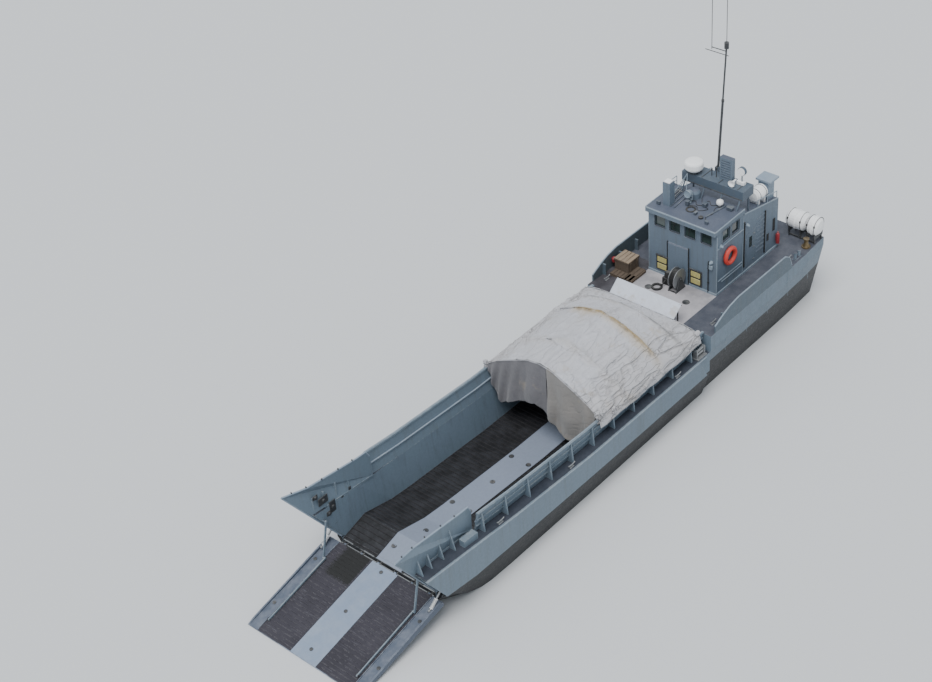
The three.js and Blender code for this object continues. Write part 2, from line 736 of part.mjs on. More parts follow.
piece('canopy_curtain_port', curtain(330, 2620, [...PORT_HEM].reverse()), PAINT.canvas, 0, 0.95);
piece('canopy_curtain_starboard', curtain(310, -2620, STARBOARD_HEM), PAINT.canvas, 0, 0.95);

// A flat panel rises aft from the cover's last edge to a rail on two posts
const AFT_PANEL = { front: CANOPY[4][0] - GAP, back: -3705, rail: -3660, half: 1580, low: 4205, high: 4676 };

function aftPanel() {
  const { front, back, rail, half, low, high } = AFT_PANEL;
  const outline = [
    [front, low],
    [front, low + 45],
    [rail + 10, high],
    [back, high],
    [back, high - 22],
    [rail + 5, high - 22],
    [front - 23, low + 33],
    [front - 23, low],
  ];
  return sideProfile(outline, -half, half);
}
piece('canopy_aft_panel', aftPanel(), PAINT.white, 0, 0.9);

function panelStand() {
  const { rail, half, high } = AFT_PANEL;
  const top = high - 22 - GAP;
  const posts = [-1400, 1400].map((y) => box(rail - 40, rail, y - 20, y + 20, AFT_DECK_Z + GAP, top - 10));
  return join(box(rail - 40, rail, -half, half, top - 40, top), ...posts);
}
piece('canopy_panel_stand', panelStand(), PAINT.steel, 0.6, 0.5);

// Wheelhouse: hollow, with its windows and doors cut

const WINDOW = { low: 6080, high: 6640 };
// Front windows: middle, half width
const FRONT_WINDOWS = [
  [-1100, 250],
  [-370, 250],
  [370, 250],
  [1150, 250],
];
// Side windows: front edge, back edge
const SIDE_WINDOWS = [
  [-6350, -6850],
  [-7000, -7500],
];
const FRONT_CASING = { y0: -670, y1: 300, high: 5520, deep: 50 };
const SIDE_DOOR = { front: -7950, back: -8700, low: 3900, high: 5650 };

// Doors close their openings with a clearance all round, and turn on pins that the walls carry.
// A door is drawn closed: out is measured from the wall's face, and along from the hinge's jamb.
const DOOR_GAP = 8;
const HINGE = { out: 16, along: -24, radius: 14, pin: 8, height: 100 };
const hingeHeights = ({ low, high }) => [low + 250, high - 350];

// Maps a box of out, along and z to the port wall
const portWall = (o0, o1, a0, a1, z0, z1) =>
  box(SIDE_DOOR.front + a0, SIDE_DOOR.front + a1, HOUSE.half + o0, HOUSE.half + o1, z0, z1);

const hingePost = (radius, z0, z1, count) =>
  cylinder('z', radius, z0, z1, SIDE_DOOR.front + HINGE.along, HOUSE.half + HINGE.out, count);

// The arms and pins that stand on the wall beside the door
function doorPins() {
  return hingeHeights(SIDE_DOOR).flatMap((z) => [
    portWall(HINGE.out - 12, HINGE.out + 8, HINGE.along, 40, z - 16, z - 0.5),
    portWall(-20, HINGE.out + 8, 10, 40, z - 16, z - 0.5),
    hingePost(12, z - 16, z - 0.5, 16),
    hingePost(HINGE.pin, z - 5, z + HINGE.height - 10, 16),
  ]);
}

// A door leaf with a raised panel and two knuckles
function sideDoor() {
  const width = SIDE_DOOR.front - SIDE_DOOR.back;
  const [low, high] = [SIDE_DOOR.low + DOOR_GAP, SIDE_DOOR.high - DOOR_GAP];
  const leaf = portWall(-DOOR_THICK, 0, DOOR_GAP - width, -DOOR_GAP, low, high);
  const panel = portWall(-10, 14, 90 - width, -90, low + 80, high - 80);
  const knuckles = hingeHeights(SIDE_DOOR).flatMap((z) => [
    portWall(-5, HINGE.out, HINGE.along - 60, HINGE.along, z, z + HINGE.height),
    hingePost(HINGE.radius, z, z + HINGE.height, 16),
  ]);
  const bores = hingeHeights(SIDE_DOOR).map((z) =>
    hingePost(HINGE.pin + PIN_CLEARANCE, z - 10, z + HINGE.height + 10, BORE_SIDES)
  );
  return cut(join(leaf, panel, ...knuckles), ...bores);
}

function wheelhouse() {
  const { front, back, half, wall, roof } = HOUSE;
  const floor = AFT_DECK_Z + GAP;
  const shell = box(back, front, -half, half, floor, roof);
  const tools = [box(back + wall, front - wall, wall - half, half - wall, floor - 50, roof - wall)];
  for (const [y, w] of FRONT_WINDOWS) {
    tools.push(box(front - 200, front + 50, y - w, y + w, WINDOW.low, WINDOW.high));
  }
  for (const [x1, x0] of SIDE_WINDOWS) {
    tools.push(box(x0, x1, -half - 50, half + 50, WINDOW.low + 60, WINDOW.high));
  }
  tools.push(box(back - 50, back + 200, -400, 400, floor + 100, 5900));
  return cut(shell, ...tools);
}
piece('wheelhouse', wheelhouse(), PAINT.house, 0.2, 0.55);

// The panes form one band against the inside of the walls
function wheelhouseGlass() {
  const { front, back, half, wall } = HOUSE;
  const inset = wall + GAP;
  const [z0, z1] = [WINDOW.low - 30, WINDOW.high + 30];
  const band = (drawnIn, more) => {
    const side = half - inset - drawnIn;
    return box(back + 150 - more, front - inset - drawnIn, -side, side, z0 - more, z1 + more);
  };
  return cut(band(0, 0), band(12, 9));
}
piece('wheelhouse_glass', wheelhouseGlass(), PAINT.glass, 0.1, 0.1);

function wheelhouseRoof() {
  const { front, back, half, roof } = HOUSE;
  const z = roof + GAP;
  const outline = [
    [back - 40, z],
    [front + 40, z],
    [front + 150, z - 90],
    [front + 190, z - 90],
    [front + 190, z + 100],
    [front + 130, z + 130],
    [back - 40, z + 130],
  ];
  const slab = sideProfile(outline, -half - 40, half + 40);
  const skirts = [-half - 40, half + 5].map((y) => box(back - 40, front + 190, y, y + 35, z - 60, z + 60));
  const domed = new THREE.LatheGeometry(
    [[0, 0], [250, 0], [250, 260], [190, 370], [0, 420]].map(([r, up]) => new THREE.Vector2(r, up)),
    20
  );
  return join(slab, ...skirts, domed.rotateX(Math.PI / 2).translate(-7430, -470, z + 129));
}
piece('wheelhouse_roof', wheelhouseRoof(), PAINT.house, 0.2, 0.55);

// Deckhouse behind the wheelhouse, with a roof that falls aft
function deckhouse() {
  const front = HOUSE.back - GAP;
  const floor = AFT_DECK_Z + GAP;
  const { back, topFront, topBack } = AFT_HOUSE;
  const { half, wall } = HOUSE;
  const outside = [[front, floor], [front, topFront], [back, topBack], [back, floor]];
  const inside = [
    [front + 20, floor - 50],
    [front + 20, topFront - wall],
    [back + wall, topBack - wall],
    [back + wall, floor - 50],
  ];
  const tools = [sideProfile(inside, wall - half, half - wall)];
  const door = SIDE_DOOR;
  tools.push(box(door.back, door.front, -half - 50, half + 50, door.low, door.high));
  const shell = cut(sideProfile(outside, -half, half), ...tools);
  const ribs = [];
  for (let rib = 0; rib < 9; rib++) {
    const z = 4300 + rib * 200;
    for (const side of [half - 10, -half - 18]) {
      ribs.push(box(-9350, -8780, side, side + 28, z, z + 60));
    }
  }
  const pins = doorPins();
  return join(shell, ...ribs, ...pins, ...pins.map(mirrored));
}
piece('deckhouse', deckhouse(), PAINT.house, 0.2, 0.55);

sides('deckhouse_door', sideDoor(), PAINT.house, 0.2, 0.5);

// A shallow casing for cables stands on the wheelhouse's front
function frontCasing() {
  const { y0, y1, high, deep } = FRONT_CASING;
  const x = HOUSE.front + GAP;
  const outline = [
    [x, AFT_DECK_Z + GAP],
    [x + deep, AFT_DECK_Z + GAP],
    [x + deep, high - 40],
    [x, high],
  ];
  return sideProfile(outline, y0, y1);
}
piece('front_casing', frontCasing(), PAINT.house, 0.2, 0.5);

// On the roofs: arch with radome, lamp and louvred box, hood and raft

// Height of the deckhouse roof at x
const { back: AFT_BACK, topFront, topBack } = AFT_HOUSE;
const aftRoof = (x) => topFront + ((topFront - topBack) * (x - HOUSE.back)) / (HOUSE.back - AFT_BACK);

const ROOF_Z = HOUSE.roof + GAP + 130;
const ARCH = { front: -7730, back: -8470, y0: -1300, y1: 1650, low: 7320, high: 7740 };
const HOODED_LAMP = { x: -8200, y: 1270, z: 8370, radius: 185 };
const RADOME = { x: -7900, y: -830 };

function roofArch() {
  const { front, back, y0, y1, low, high } = ARCH;
  const beam = box(back, front, y0, y1, low, high);
  const legs = [-1150, -200, 650, 1500].map((y) =>
    rod([front + 243, y, ROOF_Z - 20], [front - 30, y, low + 20], 30, 10)
  );
  const roof = box(front + 100, front + 400, y0, y1, ROOF_Z - 200, ROOF_Z + GAP);
  const [x0, x1] = [back + 100, back + 150];
  for (const y of [-1150, 1500]) {
    const outline = [[x0, aftRoof(x0) + GAP], [x1, aftRoof(x1) + GAP], [x1, low + 10], [x0, low + 10]];
    legs.push(sideProfile(outline, y - 25, y + 25));
  }
  const pedestal = cylinder('z', 170, high - 10, high + 150, RADOME.x, RADOME.y, 20);
  const lamp = HOODED_LAMP;
  const drum = cylinder('x', lamp.radius, lamp.x - 60, lamp.x + 60, lamp.y, lamp.z, 20);
  const post = cylinder('z', 25, high - 10, lamp.z - lamp.radius + 20, lamp.x, lamp.y, 12);
  const mastFoot = box(back - 175, back + 15, -210, -40, high - 120, high + 10);
  const cheeks = [-205, -70].map((y) => box(back - 165, back + 15, y, y + 25, high - 20, high + 190));
  const bore = cylinder('y', 22, -260, 10, back - 105, high + 120, 16);
  return cut(join(beam, ...legs, pedestal, drum, post, mastFoot, ...cheeks), bore, roof);
}
piece('roof_arch', roofArch(), PAINT.house, 0.2, 0.55);

function radome() {
  const base = ARCH.high + 150 + GAP;
  const outline = [
    [0, 0],
    [300, 0],
    [375, 80],
    [390, 120],
    [390, 310],
    [360, 370],
    [270, 405],
    [0, 420],
  ];
  const shape = outline.map(([r, z]) => new THREE.Vector2(r, z));
  return new THREE.LatheGeometry(shape, 32).rotateX(Math.PI / 2).translate(RADOME.x, RADOME.y, base);
}
piece('radome', radome(), PAINT.white, 0, 0.35);

piece('roof_pedestal', box(-6620, -6280, -1200, -860, ROOF_Z + GAP, 7970), PAINT.house, 0.2, 0.55);

function louvreBox() {
  const [x, y] = [-8200, 570];
  const z = ARCH.high + GAP;
  const body = box(x - 110, x + 110, y - 290, y + 290, z, z + 1020);
  const slats = [];
  for (let slat = 0; slat < 8; slat++) {
    const low = z + 90 + slat * 108;
    slats.push(box(x + 80, x + 200, y - 225, y + 225, low, low + 56));
  }
  return cut(body, ...slats);
}
piece('louvre_box', louvreBox(), PAINT.house, 0.2, 0.55);

function ventHood() {
  const [x0, x1, y0, y1] = [-10300, -9880, 950, 1450];
  const trunk = [
    [x0, aftRoof(x0) + GAP],
    [x1, aftRoof(x1) + GAP],
    [x1, 7030],
    [x0, 7030],
  ];
  const cap = box(x0 - 150, x1 + 80, y0 - 80, y1 + 130, 7020, 7100);
  return join(sideProfile(trunk, y0, y1), cap);
}
piece('vent_hood', ventHood(), PAINT.topside, 0.2, 0.5);

// A raft canister is a drum with domed ends, lying along one axis
function canister(length, radius) {
  const dome = radius * 0.35;
  const outline = [
    [0, -length / 2],
    [radius * 0.7, -length / 2 + dome * 0.25],
    [radius, -length / 2 + dome],
    [radius, -40],
    [radius + 25, -30],
    [radius + 25, 30],
    [radius, 40],
    [radius, length / 2 - dome],
    [radius * 0.7, length / 2 - dome * 0.25],
    [0, length / 2],
  ];
  return new THREE.LatheGeometry(outline.map(([r, l]) => new THREE.Vector2(r, l)), 24);
}

function roofRaft() {
  const [x, y, radius] = [-9380, 1270, 290];
  const z = aftRoof(x) + radius + 120;
  const drum = canister(780, radius).rotateZ(Math.PI / 2).translate(x, y, z);
  const saddles = [-200, 200].map((offset) => {
    const [x0, x1] = [x + offset - 40, x + offset + 40];
    const outline = [[x0, aftRoof(x0) + GAP], [x1, aftRoof(x1) + GAP], [x1, z - 200], [x0, z - 200]];
    return sideProfile(outline, y - 220, y + 220);
  });
  return join(drum, ...saddles);
}
piece('roof_raft', roofRaft(), PAINT.white, 0, 0.5);

// Two rafts lie end to end across the stern's port side, in one cradle
const STERN_RAFT = { x: -11570, radius: 400, z: 4520 };
// Each raft's middle and length along y
const STERN_RAFTS = [
  [1900, 980],
  [2705, 590],
];

STERN_RAFTS.forEach(([y, length], place) => {
  const { x, radius, z } = STERN_RAFT;
  const drum = canister(length, radius).translate(x, y, z);
  piece(['stern_raft_inner', 'stern_raft_outer'][place], drum, PAINT.white, 0, 0.5);
});

function raftCradle() {
  const { x, radius, z } = STERN_RAFT;
  const floor = AFT_DECK_Z + GAP;
  const solids = [];
  for (const y of [1640, 2180, 2530, 2860]) {
    const seat = box(x - 330, x + 330, y - 25, y + 25, z - radius - 120, z - radius + 130);
    const legs = [-280, 230].map((dx) => box(x + dx, x + dx + 50, y - 25, y + 25, floor, z - radius));
    solids.push(seat, ...legs);
  }
  for (const dx of [-280, 230]) solids.push(box(x + dx, x + dx + 50, 1620, 2880, floor + 60, floor + 110));
  const drums = STERN_RAFTS.map(([y]) => cylinder('y', radius + 0.6, y - 500, y + 500, x, z, 56));
  const rims = STERN_RAFTS.map(([y]) => cylinder('y', radius + 28, y - 45, y + 45, x, z, 28));
  return cut(join(...solids), ...drums, ...rims);
}
piece('raft_cradle', raftCradle(), PAINT.dark, 0.4, 0.5);

// Deck gear

function deckCrate() {
  const floor = AFT_DECK_Z + GAP;
  const pallet = box(-5650, -4650, -2700, -1600, floor, floor + 110);
  const chest = box(-5750, -5050, -2750, -2050, floor, floor + 560);
  const lid = box(-5780, -5020, -2780, -2020, floor + 540, floor + 610);
  return join(pallet, chest, lid);
}
piece('deck_crate', deckCrate(), PAINT.wood, 0, 0.85);

function lifebuoy() {
  const ring = new THREE.TorusGeometry(320, 95, 12, 28).rotateX(Math.PI / 2);
  return ring.translate(-6780, HOUSE.half + 95 + GAP, 5320);
}
piece('lifebuoy', lifebuoy(), PAINT.orange, 0, 0.6);

// Roller fairlead on the side deck, in the gap between belt and bulwark
function fairlead() {
  const z = sheer(-2850) + GAP;
  const plate = box(-3450, -2850, 2600, 2980, z, z + 40);
  const posts = [-3400, -2900].map((x) => box(x - 25, x + 25, 2700, 2900, z + 20, z + 420));
  const rollers = [z + 160, z + 330].map((rz) => cylinder('x', 60, -3400, -2900, 2800, rz, 16));
  return join(plate, ...posts, ...rollers);
}
sides('fairlead', fairlead(), PAINT.steel, 0.7, 0.35);

// Locker box on the port side deck
const LOCKER = { back: 10150, front: 10850, inner: 2620, outer: 2860, high: 280 };

function sideLocker() {
  const { front, back, inner, outer, high } = LOCKER;
  const bends = SHEER.map(([x]) => x).filter((x) => x > back && x < front).sort((a, b) => a - b);
  const foot = [back, ...bends, front].map((x) => [x, sheer(x) + GAP]);
  const lid = [...foot].reverse().map(([x, z]) => [x, z + high]);
  return sideProfile([...foot, ...lid], inner, outer);
}
piece('side_locker', sideLocker(), PAINT.topside, 0.2, 0.5);

// Reel on the deck ahead of the wheelhouse
const REEL = { x: -5450, y: 80, radius: 430, width: 260 };
const REEL_Z = AFT_DECK_Z + REEL.radius + 120;

function hoseReel() {
  const { x, y, radius, width } = REEL;
  const drum = cylinder('y', radius * 0.55, y - width / 2, y + width / 2, x, REEL_Z, 24);
  const discs = [-1, 1].map((side) => {
    const at = y + (side * width) / 2;
    return cylinder('y', radius, at - 12, at + 12, x, REEL_Z, 32);
  });
  const axle = cylinder('y', 24, y - width / 2 - 90, y + width / 2 + 90, x, REEL_Z, 16);
  return join(drum, ...discs, axle);
}
piece('hose_reel', hoseReel(), PAINT.steel, 0.4, 0.5);

function reelStand() {
  const { x, y, width } = REEL;
  const floor = AFT_DECK_Z + GAP;
  const reach = width / 2 + 55;
  const solids = [];
  for (const side of [-1, 1]) {
    const at = y + side * reach;
    const trestle = [
      [x - 330, floor],
      [x + 330, floor],
      [x + 50, REEL_Z + 60],
      [x - 50, REEL_Z + 60],
    ];
    solids.push(sideProfile(trestle, at - 20, at + 20));
  }
  solids.push(box(x - 300, x - 260, y - reach, y + reach, floor, floor + 50));
  solids.push(box(x + 260, x + 300, y - reach, y + reach, floor, floor + 50));
  const bore = cylinder('y', 25, y - 400, y + 400, x, REEL_Z, 16);
  return cut(join(...solids), bore);
}
piece('reel_stand', reelStand(), PAINT.dark, 0.4, 0.5);

function capstan() {
  const outline = [
    [0, 0],
    [150, 0],
    [120, 60],
    [85, 180],
    [90, 260],
    [125, 330],
    [130, 360],
    [0, 370],
  ];
  const shape = outline.map(([r, z]) => new THREE.Vector2(r, z));
  return new THREE.LatheGeometry(shape, 24).rotateX(Math.PI / 2);
}
const CAPSTAN = { x: -10950, y: 2690 };
const capstanFoot = AFT_DECK_Z + GAP + 60 + GAP;
piece('capstan', capstan().translate(CAPSTAN.x, CAPSTAN.y, capstanFoot), PAINT.bronze, 0.5, 0.5);
const capstanBase = cylinder('z', 190, AFT_DECK_Z + GAP, AFT_DECK_Z + GAP + 60, CAPSTAN.x, CAPSTAN.y, 24);
piece('capstan_base', capstanBase, PAINT.dark, 0.4, 0.5);

// Mast with its yard and two whip aerials, raked aft on a hinge behind the arch
const MAST_FOOT = [ARCH.back - 105, -125, ARCH.high + 120];

function mast() {
  const [x, y, z] = MAST_FOOT;
  const rake = 0.083;
  const at = (up, out = 0) => [x - rake * up, y + out, z + up];
  const eye = cylinder('y', 55, y - 49, y + 49, x, z, 20);
  const bore = cylinder('y', 22 + GAP, y - 80, y + 80, x, z, 16);
  const solids = [
    eye,
    rod(at(30), at(2960), 50, 12),
    rod(at(2900), at(5300), 36, 12),
    cylinder('z', 62, z + 2900, z + 3000, x - rake * 2950, y, 12),
    cylinder('z', 95, z + 5160, z + 5420, x - rake * 5300, y, 16),
    rod(at(5040, -680), at(5040), 20, 8),
    rod(at(4880, -960), at(4880, 120), 16, 8),
    rod(at(4960, -665), [x - rake * 4960, y - 665, z + 8040], 14, 8),
    rod(at(5350), [x - rake * 5350, y, z + 8232], 14, 8),
  ];
  return cut(join(...solids), bore);
}
piece('mast', mast(), PAINT.dark, 0.3, 0.5);
piece('mast_pin', cylinder('y', 21.7, -230, -20, MAST_FOOT[0], MAST_FOOT[2], 16), PAINT.steel, 0.8, 0.3);

// Propellers and rudders under the stern
function propeller() {
  const y = SHAFT_Y;
  const shaft = cylinder('x', SHAFT_RADIUS, PROP_X - 60, -6500, y, SHAFT_Z, 20);
  const hub = cylinder('x', 75, PROP_X - 110, PROP_X + 110, y, SHAFT_Z, 20);
  const blades = [];
  const stations = [
    [60, 55, 150],
    [180, 42, 210],
    [320, 26, 230],
    [420, 12, 120],
  ]; // radius, pitch angle in degrees, chord
  for (let blade = 0; blade < 4; blade++) {
    const rings = stations.map(([radius, pitch, chord]) => {
      const turn = THREE.MathUtils.degToRad(pitch);
      const [along, across] = [Math.sin(turn) * chord * 0.5, Math.cos(turn) * chord * 0.5];
      const thick = 9;
      return [
        [along - thick, -across, radius],
        [along + thick, -across, radius],
        [-along + thick, across, radius],
        [-along - thick, across, radius],
      ];
    });
    const skin = loft(rings.map((ring) => ring.map(([a, b, r]) => [r, a, b])));
    const upright = new THREE.Matrix4().makeBasis(
      new THREE.Vector3(0, 0, 1),
      new THREE.Vector3(1, 0, 0),
      new THREE.Vector3(0, 1, 0)
    );
    skin.applyMatrix4(upright).rotateX((blade * Math.PI) / 2);
    blades.push(skin.translate(PROP_X, y, SHAFT_Z));
  }
  return join(shaft, hub, ...blades);
}
sides('propeller', propeller(), PAINT.bronze, 0.7, 0.4);

function rudder() {
  const y = SHAFT_Y;
  const outline = [
    [RUDDER_X + 180, y],
    [RUDDER_X + 120, y + 35],
    [RUDDER_X - 60, y + 40],
    [RUDDER_X - 420, y + 8],
    [RUDDER_X - 420, y - 8],
    [RUDDER_X - 60, y - 40],
    [RUDDER_X + 120, y - 35],
  ];
  const blade = planProfile(outline, 90, 820);
  const stock = cylinder('z', 45, 700, SHAFT_Z + TUNNEL_RADIUS + 180, RUDDER_X, y, 16);
  return join(blade, stock);
}
sides('rudder', rudder(), PAINT.bottom, 0.3, 0.6);

export default root;
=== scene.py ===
# %% [markdown]
# # A landing craft, dressed in Blender
# The craft was first built as exact solids, and this lesson puts it in its paint, canvas and gear.
# The solids load as a fixed frame: they are never moved or reshaped, only painted, or hidden where
# a softer, finer piece stands in their place. Everything is in metres, with x towards the bow ramp,
# y to port and z up, so a piece made at the right numbers is already in its right place.

# %% Load the solids
import math

import bmesh
import bpy
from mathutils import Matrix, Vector, noise


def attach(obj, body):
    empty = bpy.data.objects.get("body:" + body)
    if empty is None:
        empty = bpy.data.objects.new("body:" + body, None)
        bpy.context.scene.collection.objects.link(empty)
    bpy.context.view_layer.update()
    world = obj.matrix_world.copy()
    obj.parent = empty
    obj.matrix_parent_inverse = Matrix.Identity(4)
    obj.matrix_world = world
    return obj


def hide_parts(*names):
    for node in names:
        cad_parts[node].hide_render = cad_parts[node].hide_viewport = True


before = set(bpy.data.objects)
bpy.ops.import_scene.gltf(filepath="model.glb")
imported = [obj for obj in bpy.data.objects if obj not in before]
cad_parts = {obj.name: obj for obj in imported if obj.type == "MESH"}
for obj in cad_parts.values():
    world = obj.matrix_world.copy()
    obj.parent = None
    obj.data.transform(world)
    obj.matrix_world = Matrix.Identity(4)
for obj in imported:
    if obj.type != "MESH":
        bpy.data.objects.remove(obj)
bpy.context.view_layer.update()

# %% [markdown]
# ## Camera
# The picture was taken from high over the port bow, with a long lens, and the camera leaned a little.
# The three columns of the rotation are the camera's right, up and back directions. They were found by
# fitting the hull's straight edges, which is surer than turning the view by eye.

# %% The photograph's viewpoint
CAMERA_PLACE = (41.841, 34.005, 45.522)
CAMERA_TURN = [math.radians(angle) for angle in (52.850, 4.140, 131.120)]

camera_data = bpy.data.cameras.new("camera")
camera_data.sensor_width = 36.0
camera_data.lens = 67.71
camera_data.clip_end = 500.0
camera = bpy.data.objects.new("camera", camera_data)
camera.location = CAMERA_PLACE
camera.rotation_euler = CAMERA_TURN
bpy.context.collection.objects.link(camera)
bpy.context.scene.camera = camera
print("camera distance:", round(Vector(CAMERA_PLACE).length, 1))

# %% [markdown]
# ## Floor and light
# The craft floats, so the floor is put at its waterline and the bottom of the hull goes on below it.
# A bright, even sky with one broad, soft key light gives the flat daylight of an overcast beach: the
# shapes read by their soft shading, and no shadow is black.

# %% Floor at the waterline, sky and key light
WATERLINE = 0.765
FLOOR_HALF = 150.0
CONCRETE = (0.62, 0.63, 0.64, 1)
OVERCAST = (0.86, 0.93, 1.0, 1)
KEY_AIM = (0.70, 0.30, 1.6)

corners = [(x * FLOOR_HALF, y * FLOOR_HALF, 0) for x, y in ((-1, -1), (1, -1), (1, 1), (-1, 1))]
floor_mesh = bpy.data.meshes.new("floor")
floor_mesh.from_pydata(corners, [], [(0, 1, 2, 3)])
plain = bpy.data.materials.new("stage_floor")
plain.use_nodes = True
plain.node_tree.nodes["Principled BSDF"].inputs["Base Color"].default_value = CONCRETE
plain.node_tree.nodes["Principled BSDF"].inputs["Roughness"].default_value = 0.9
floor_mesh.materials.append(plain)
floor = bpy.data.objects.new("floor", floor_mesh)
floor.location.z = WATERLINE
bpy.context.collection.objects.link(floor)

sky = bpy.data.worlds.new("sky")
sky.use_nodes = True
sky.node_tree.nodes["Background"].inputs["Color"].default_value = OVERCAST
sky.node_tree.nodes["Background"].inputs["Strength"].default_value = 0.78
bpy.context.scene.world = sky

key_light = bpy.data.lights.new("key", "SUN")
key_light.energy = 2.9
key_light.angle = math.radians(35.0)
key = bpy.data.objects.new("key", key_light)
key.rotation_euler = Vector(KEY_AIM).to_track_quat("Z", "Y").to_euler()
bpy.context.collection.objects.link(key)
print("floor at", WATERLINE)

# %% [markdown]
# ## Writing materials in few words
# A material is a small machine of nodes. A few helpers keep it short to write: one adds a node and joins
# or sets its inputs in a single call, others name the sums used most, and one opens a new material.

# %% Helpers for node trees
def add(tree, kind, inputs=None, **settings):
    """Adds a node: settings first, then each input joined to a socket or set to a plain value."""
    made = tree.nodes.new("ShaderNode" + kind)
    for name, value in settings.items():
        setattr(made, name, value)
    for name, value in (inputs or {}).items():
        if isinstance(value, bpy.types.NodeSocket):
            tree.links.new(value, made.inputs[name])
        else:
            made.inputs[name].default_value = value
    return made


def use(tree, group, inputs=None):
    return add(tree, "Group", inputs, node_tree=group).outputs


print("node helpers ready")


# %% Sums, masks and places with names of their own
def maths(tree, operation, a, b=0.0, clamp=False):
    return add(tree, "Math", {0: a, 1: b}, operation=operation, use_clamp=clamp).outputs[0]


def times(tree, a, b, clamp=False):
    return maths(tree, "MULTIPLY", a, b, clamp)


def away_from(tree, value, centre):
    return maths(tree, "ABSOLUTE", maths(tree, "SUBTRACT", value, centre))


def blend_colour(tree, factor, a, b, how="MIX"):
    return add(tree, "Mix", {0: factor, 6: a, 7: b}, data_type="RGBA", blend_type=how).outputs[2]


def ramp_mask(tree, value, low, high):
    return add(tree, "MapRange", {0: value, 1: low, 2: high}, clamp=True).outputs[0]


def own_place(tree):
    return add(tree, "TexCoord").outputs["Object"]


def own_facing(tree):
    return add(tree, "SeparateXYZ", {0: add(tree, "NewGeometry").outputs["Normal"]}).outputs


def cloud(tree, vector, scale, detail, rough=0.5):
    wanted = {"Vector": vector, "Scale": scale, "Detail": detail, "Roughness": rough}
    return add(tree, "TexNoise", wanted).outputs[0]


def stretched(tree, vector, factors):
    return add(tree, "VectorMath", {0: vector, 1: factors}, operation="MULTIPLY").outputs[0]


print("sums ready")


# %% New materials and new groups
def rgb(red, green, blue):
    return (red, green, blue, 1.0)


def new_material(name, rough, metallic=0.0):
    made = bpy.data.materials.new(name)
    made.use_nodes = True
    shader = made.node_tree.nodes["Principled BSDF"]
    shader.inputs["Roughness"].default_value = rough
    shader.inputs["Metallic"].default_value = metallic
    return made, made.node_tree, shader


NUMBER = "NodeSocketFloat"


def new_group(name, inputs, outputs):
    """A shader node group with named number inputs and named number outputs."""
    group = bpy.data.node_groups.new(name, "ShaderNodeTree")
    for label, value in inputs.items():
        group.interface.new_socket(label, in_out="INPUT", socket_type=NUMBER).default_value = value
    for label in outputs:
        group.interface.new_socket(label, in_out="OUTPUT", socket_type=NUMBER)
    return group, group.nodes.new("NodeGroupInput").outputs, group.nodes.new("NodeGroupOutput").inputs


print("materials and groups can be opened")

# %% [markdown]
# ## Effects that many finishes share
# Paint on a working craft ages everywhere in the same ways: it rubs off along edges, dirt runs down
# walls in streaks, dust and salt lie on what faces up, and the tone is never even. Each effect is one
# node group that puts out a mask from 0 to 1. They measure the object's own coordinates, so they stay
# put when a part moves. Painting masks by hand would be truer to one photograph, but it can't be
# written in a script, and masks from noise look the same at every place and from every side.

# %% Edge wear: where the rounded normal leaves the flat one
def edge_wear_group():
    wanted = {"Radius": 0.03, "Patchiness": 6.0, "Amount": 0.5}
    group, given, out = new_group("edge_wear", wanted, ["Mask"])
    bevel = add(group, "Bevel", {"Radius": given["Radius"]}, samples=4)
    flat = add(group, "NewGeometry").outputs["Normal"]
    alike = add(group, "VectorMath", {0: bevel.outputs[0], 1: flat}, operation="DOT_PRODUCT").outputs["Value"]
    edge = ramp_mask(group, alike, 0.995, 0.85)
    worn = ramp_mask(group, cloud(group, own_place(group), given["Patchiness"], 4.0, 0.65), 0.42, 0.62)
    group.links.new(times(group, times(group, edge, worn), given["Amount"], clamp=True), out["Mask"])
    return group


EDGE_WEAR = edge_wear_group()
print("group:", EDGE_WEAR.name)


# %% Streaks: noise drawn out downwards, on upright faces only
def streaks_group():
    group, given, out = new_group("streaks", {"Width": 5.0, "Length": 0.35, "Amount": 0.5}, ["Mask"])
    squeeze = add(group, "CombineXYZ", {0: given["Width"], 1: given["Width"], 2: given["Length"]})
    drawn = stretched(group, own_place(group), squeeze.outputs[0])
    runs = ramp_mask(group, cloud(group, drawn, 1.0, 5.0, 0.7), 0.5, 0.72)
    wall = ramp_mask(group, maths(group, "ABSOLUTE", own_facing(group)[2]), 0.75, 0.25)
    group.links.new(times(group, times(group, runs, wall), given["Amount"], clamp=True), out["Mask"])
    return group


STREAKS = streaks_group()
print("group:", STREAKS.name)


# %% Tone: broad clouds, fine mottling and a small height for the bump
def tone_group():
    wanted = {"Clouds": 0.45, "Mottle": 9.0, "Grain": 120.0}
    group, given, out = new_group("tone", wanted, ["Clouds", "Mottle", "Height"])
    spot = own_place(group)
    clouds = cloud(group, spot, given["Clouds"], 3.0, 0.55)
    mottle = cloud(group, spot, given["Mottle"], 6.0, 0.7)
    grain = cloud(group, spot, given["Grain"], 2.0)
    group.links.new(ramp_mask(group, clouds, 0.3, 0.7), out["Clouds"])
    group.links.new(ramp_mask(group, mottle, 0.35, 0.7), out["Mottle"])
    group.links.new(maths(group, "ADD", mottle, times(group, grain, 0.25)), out["Height"])
    return group


TONE = tone_group()
print("group:", TONE.name)


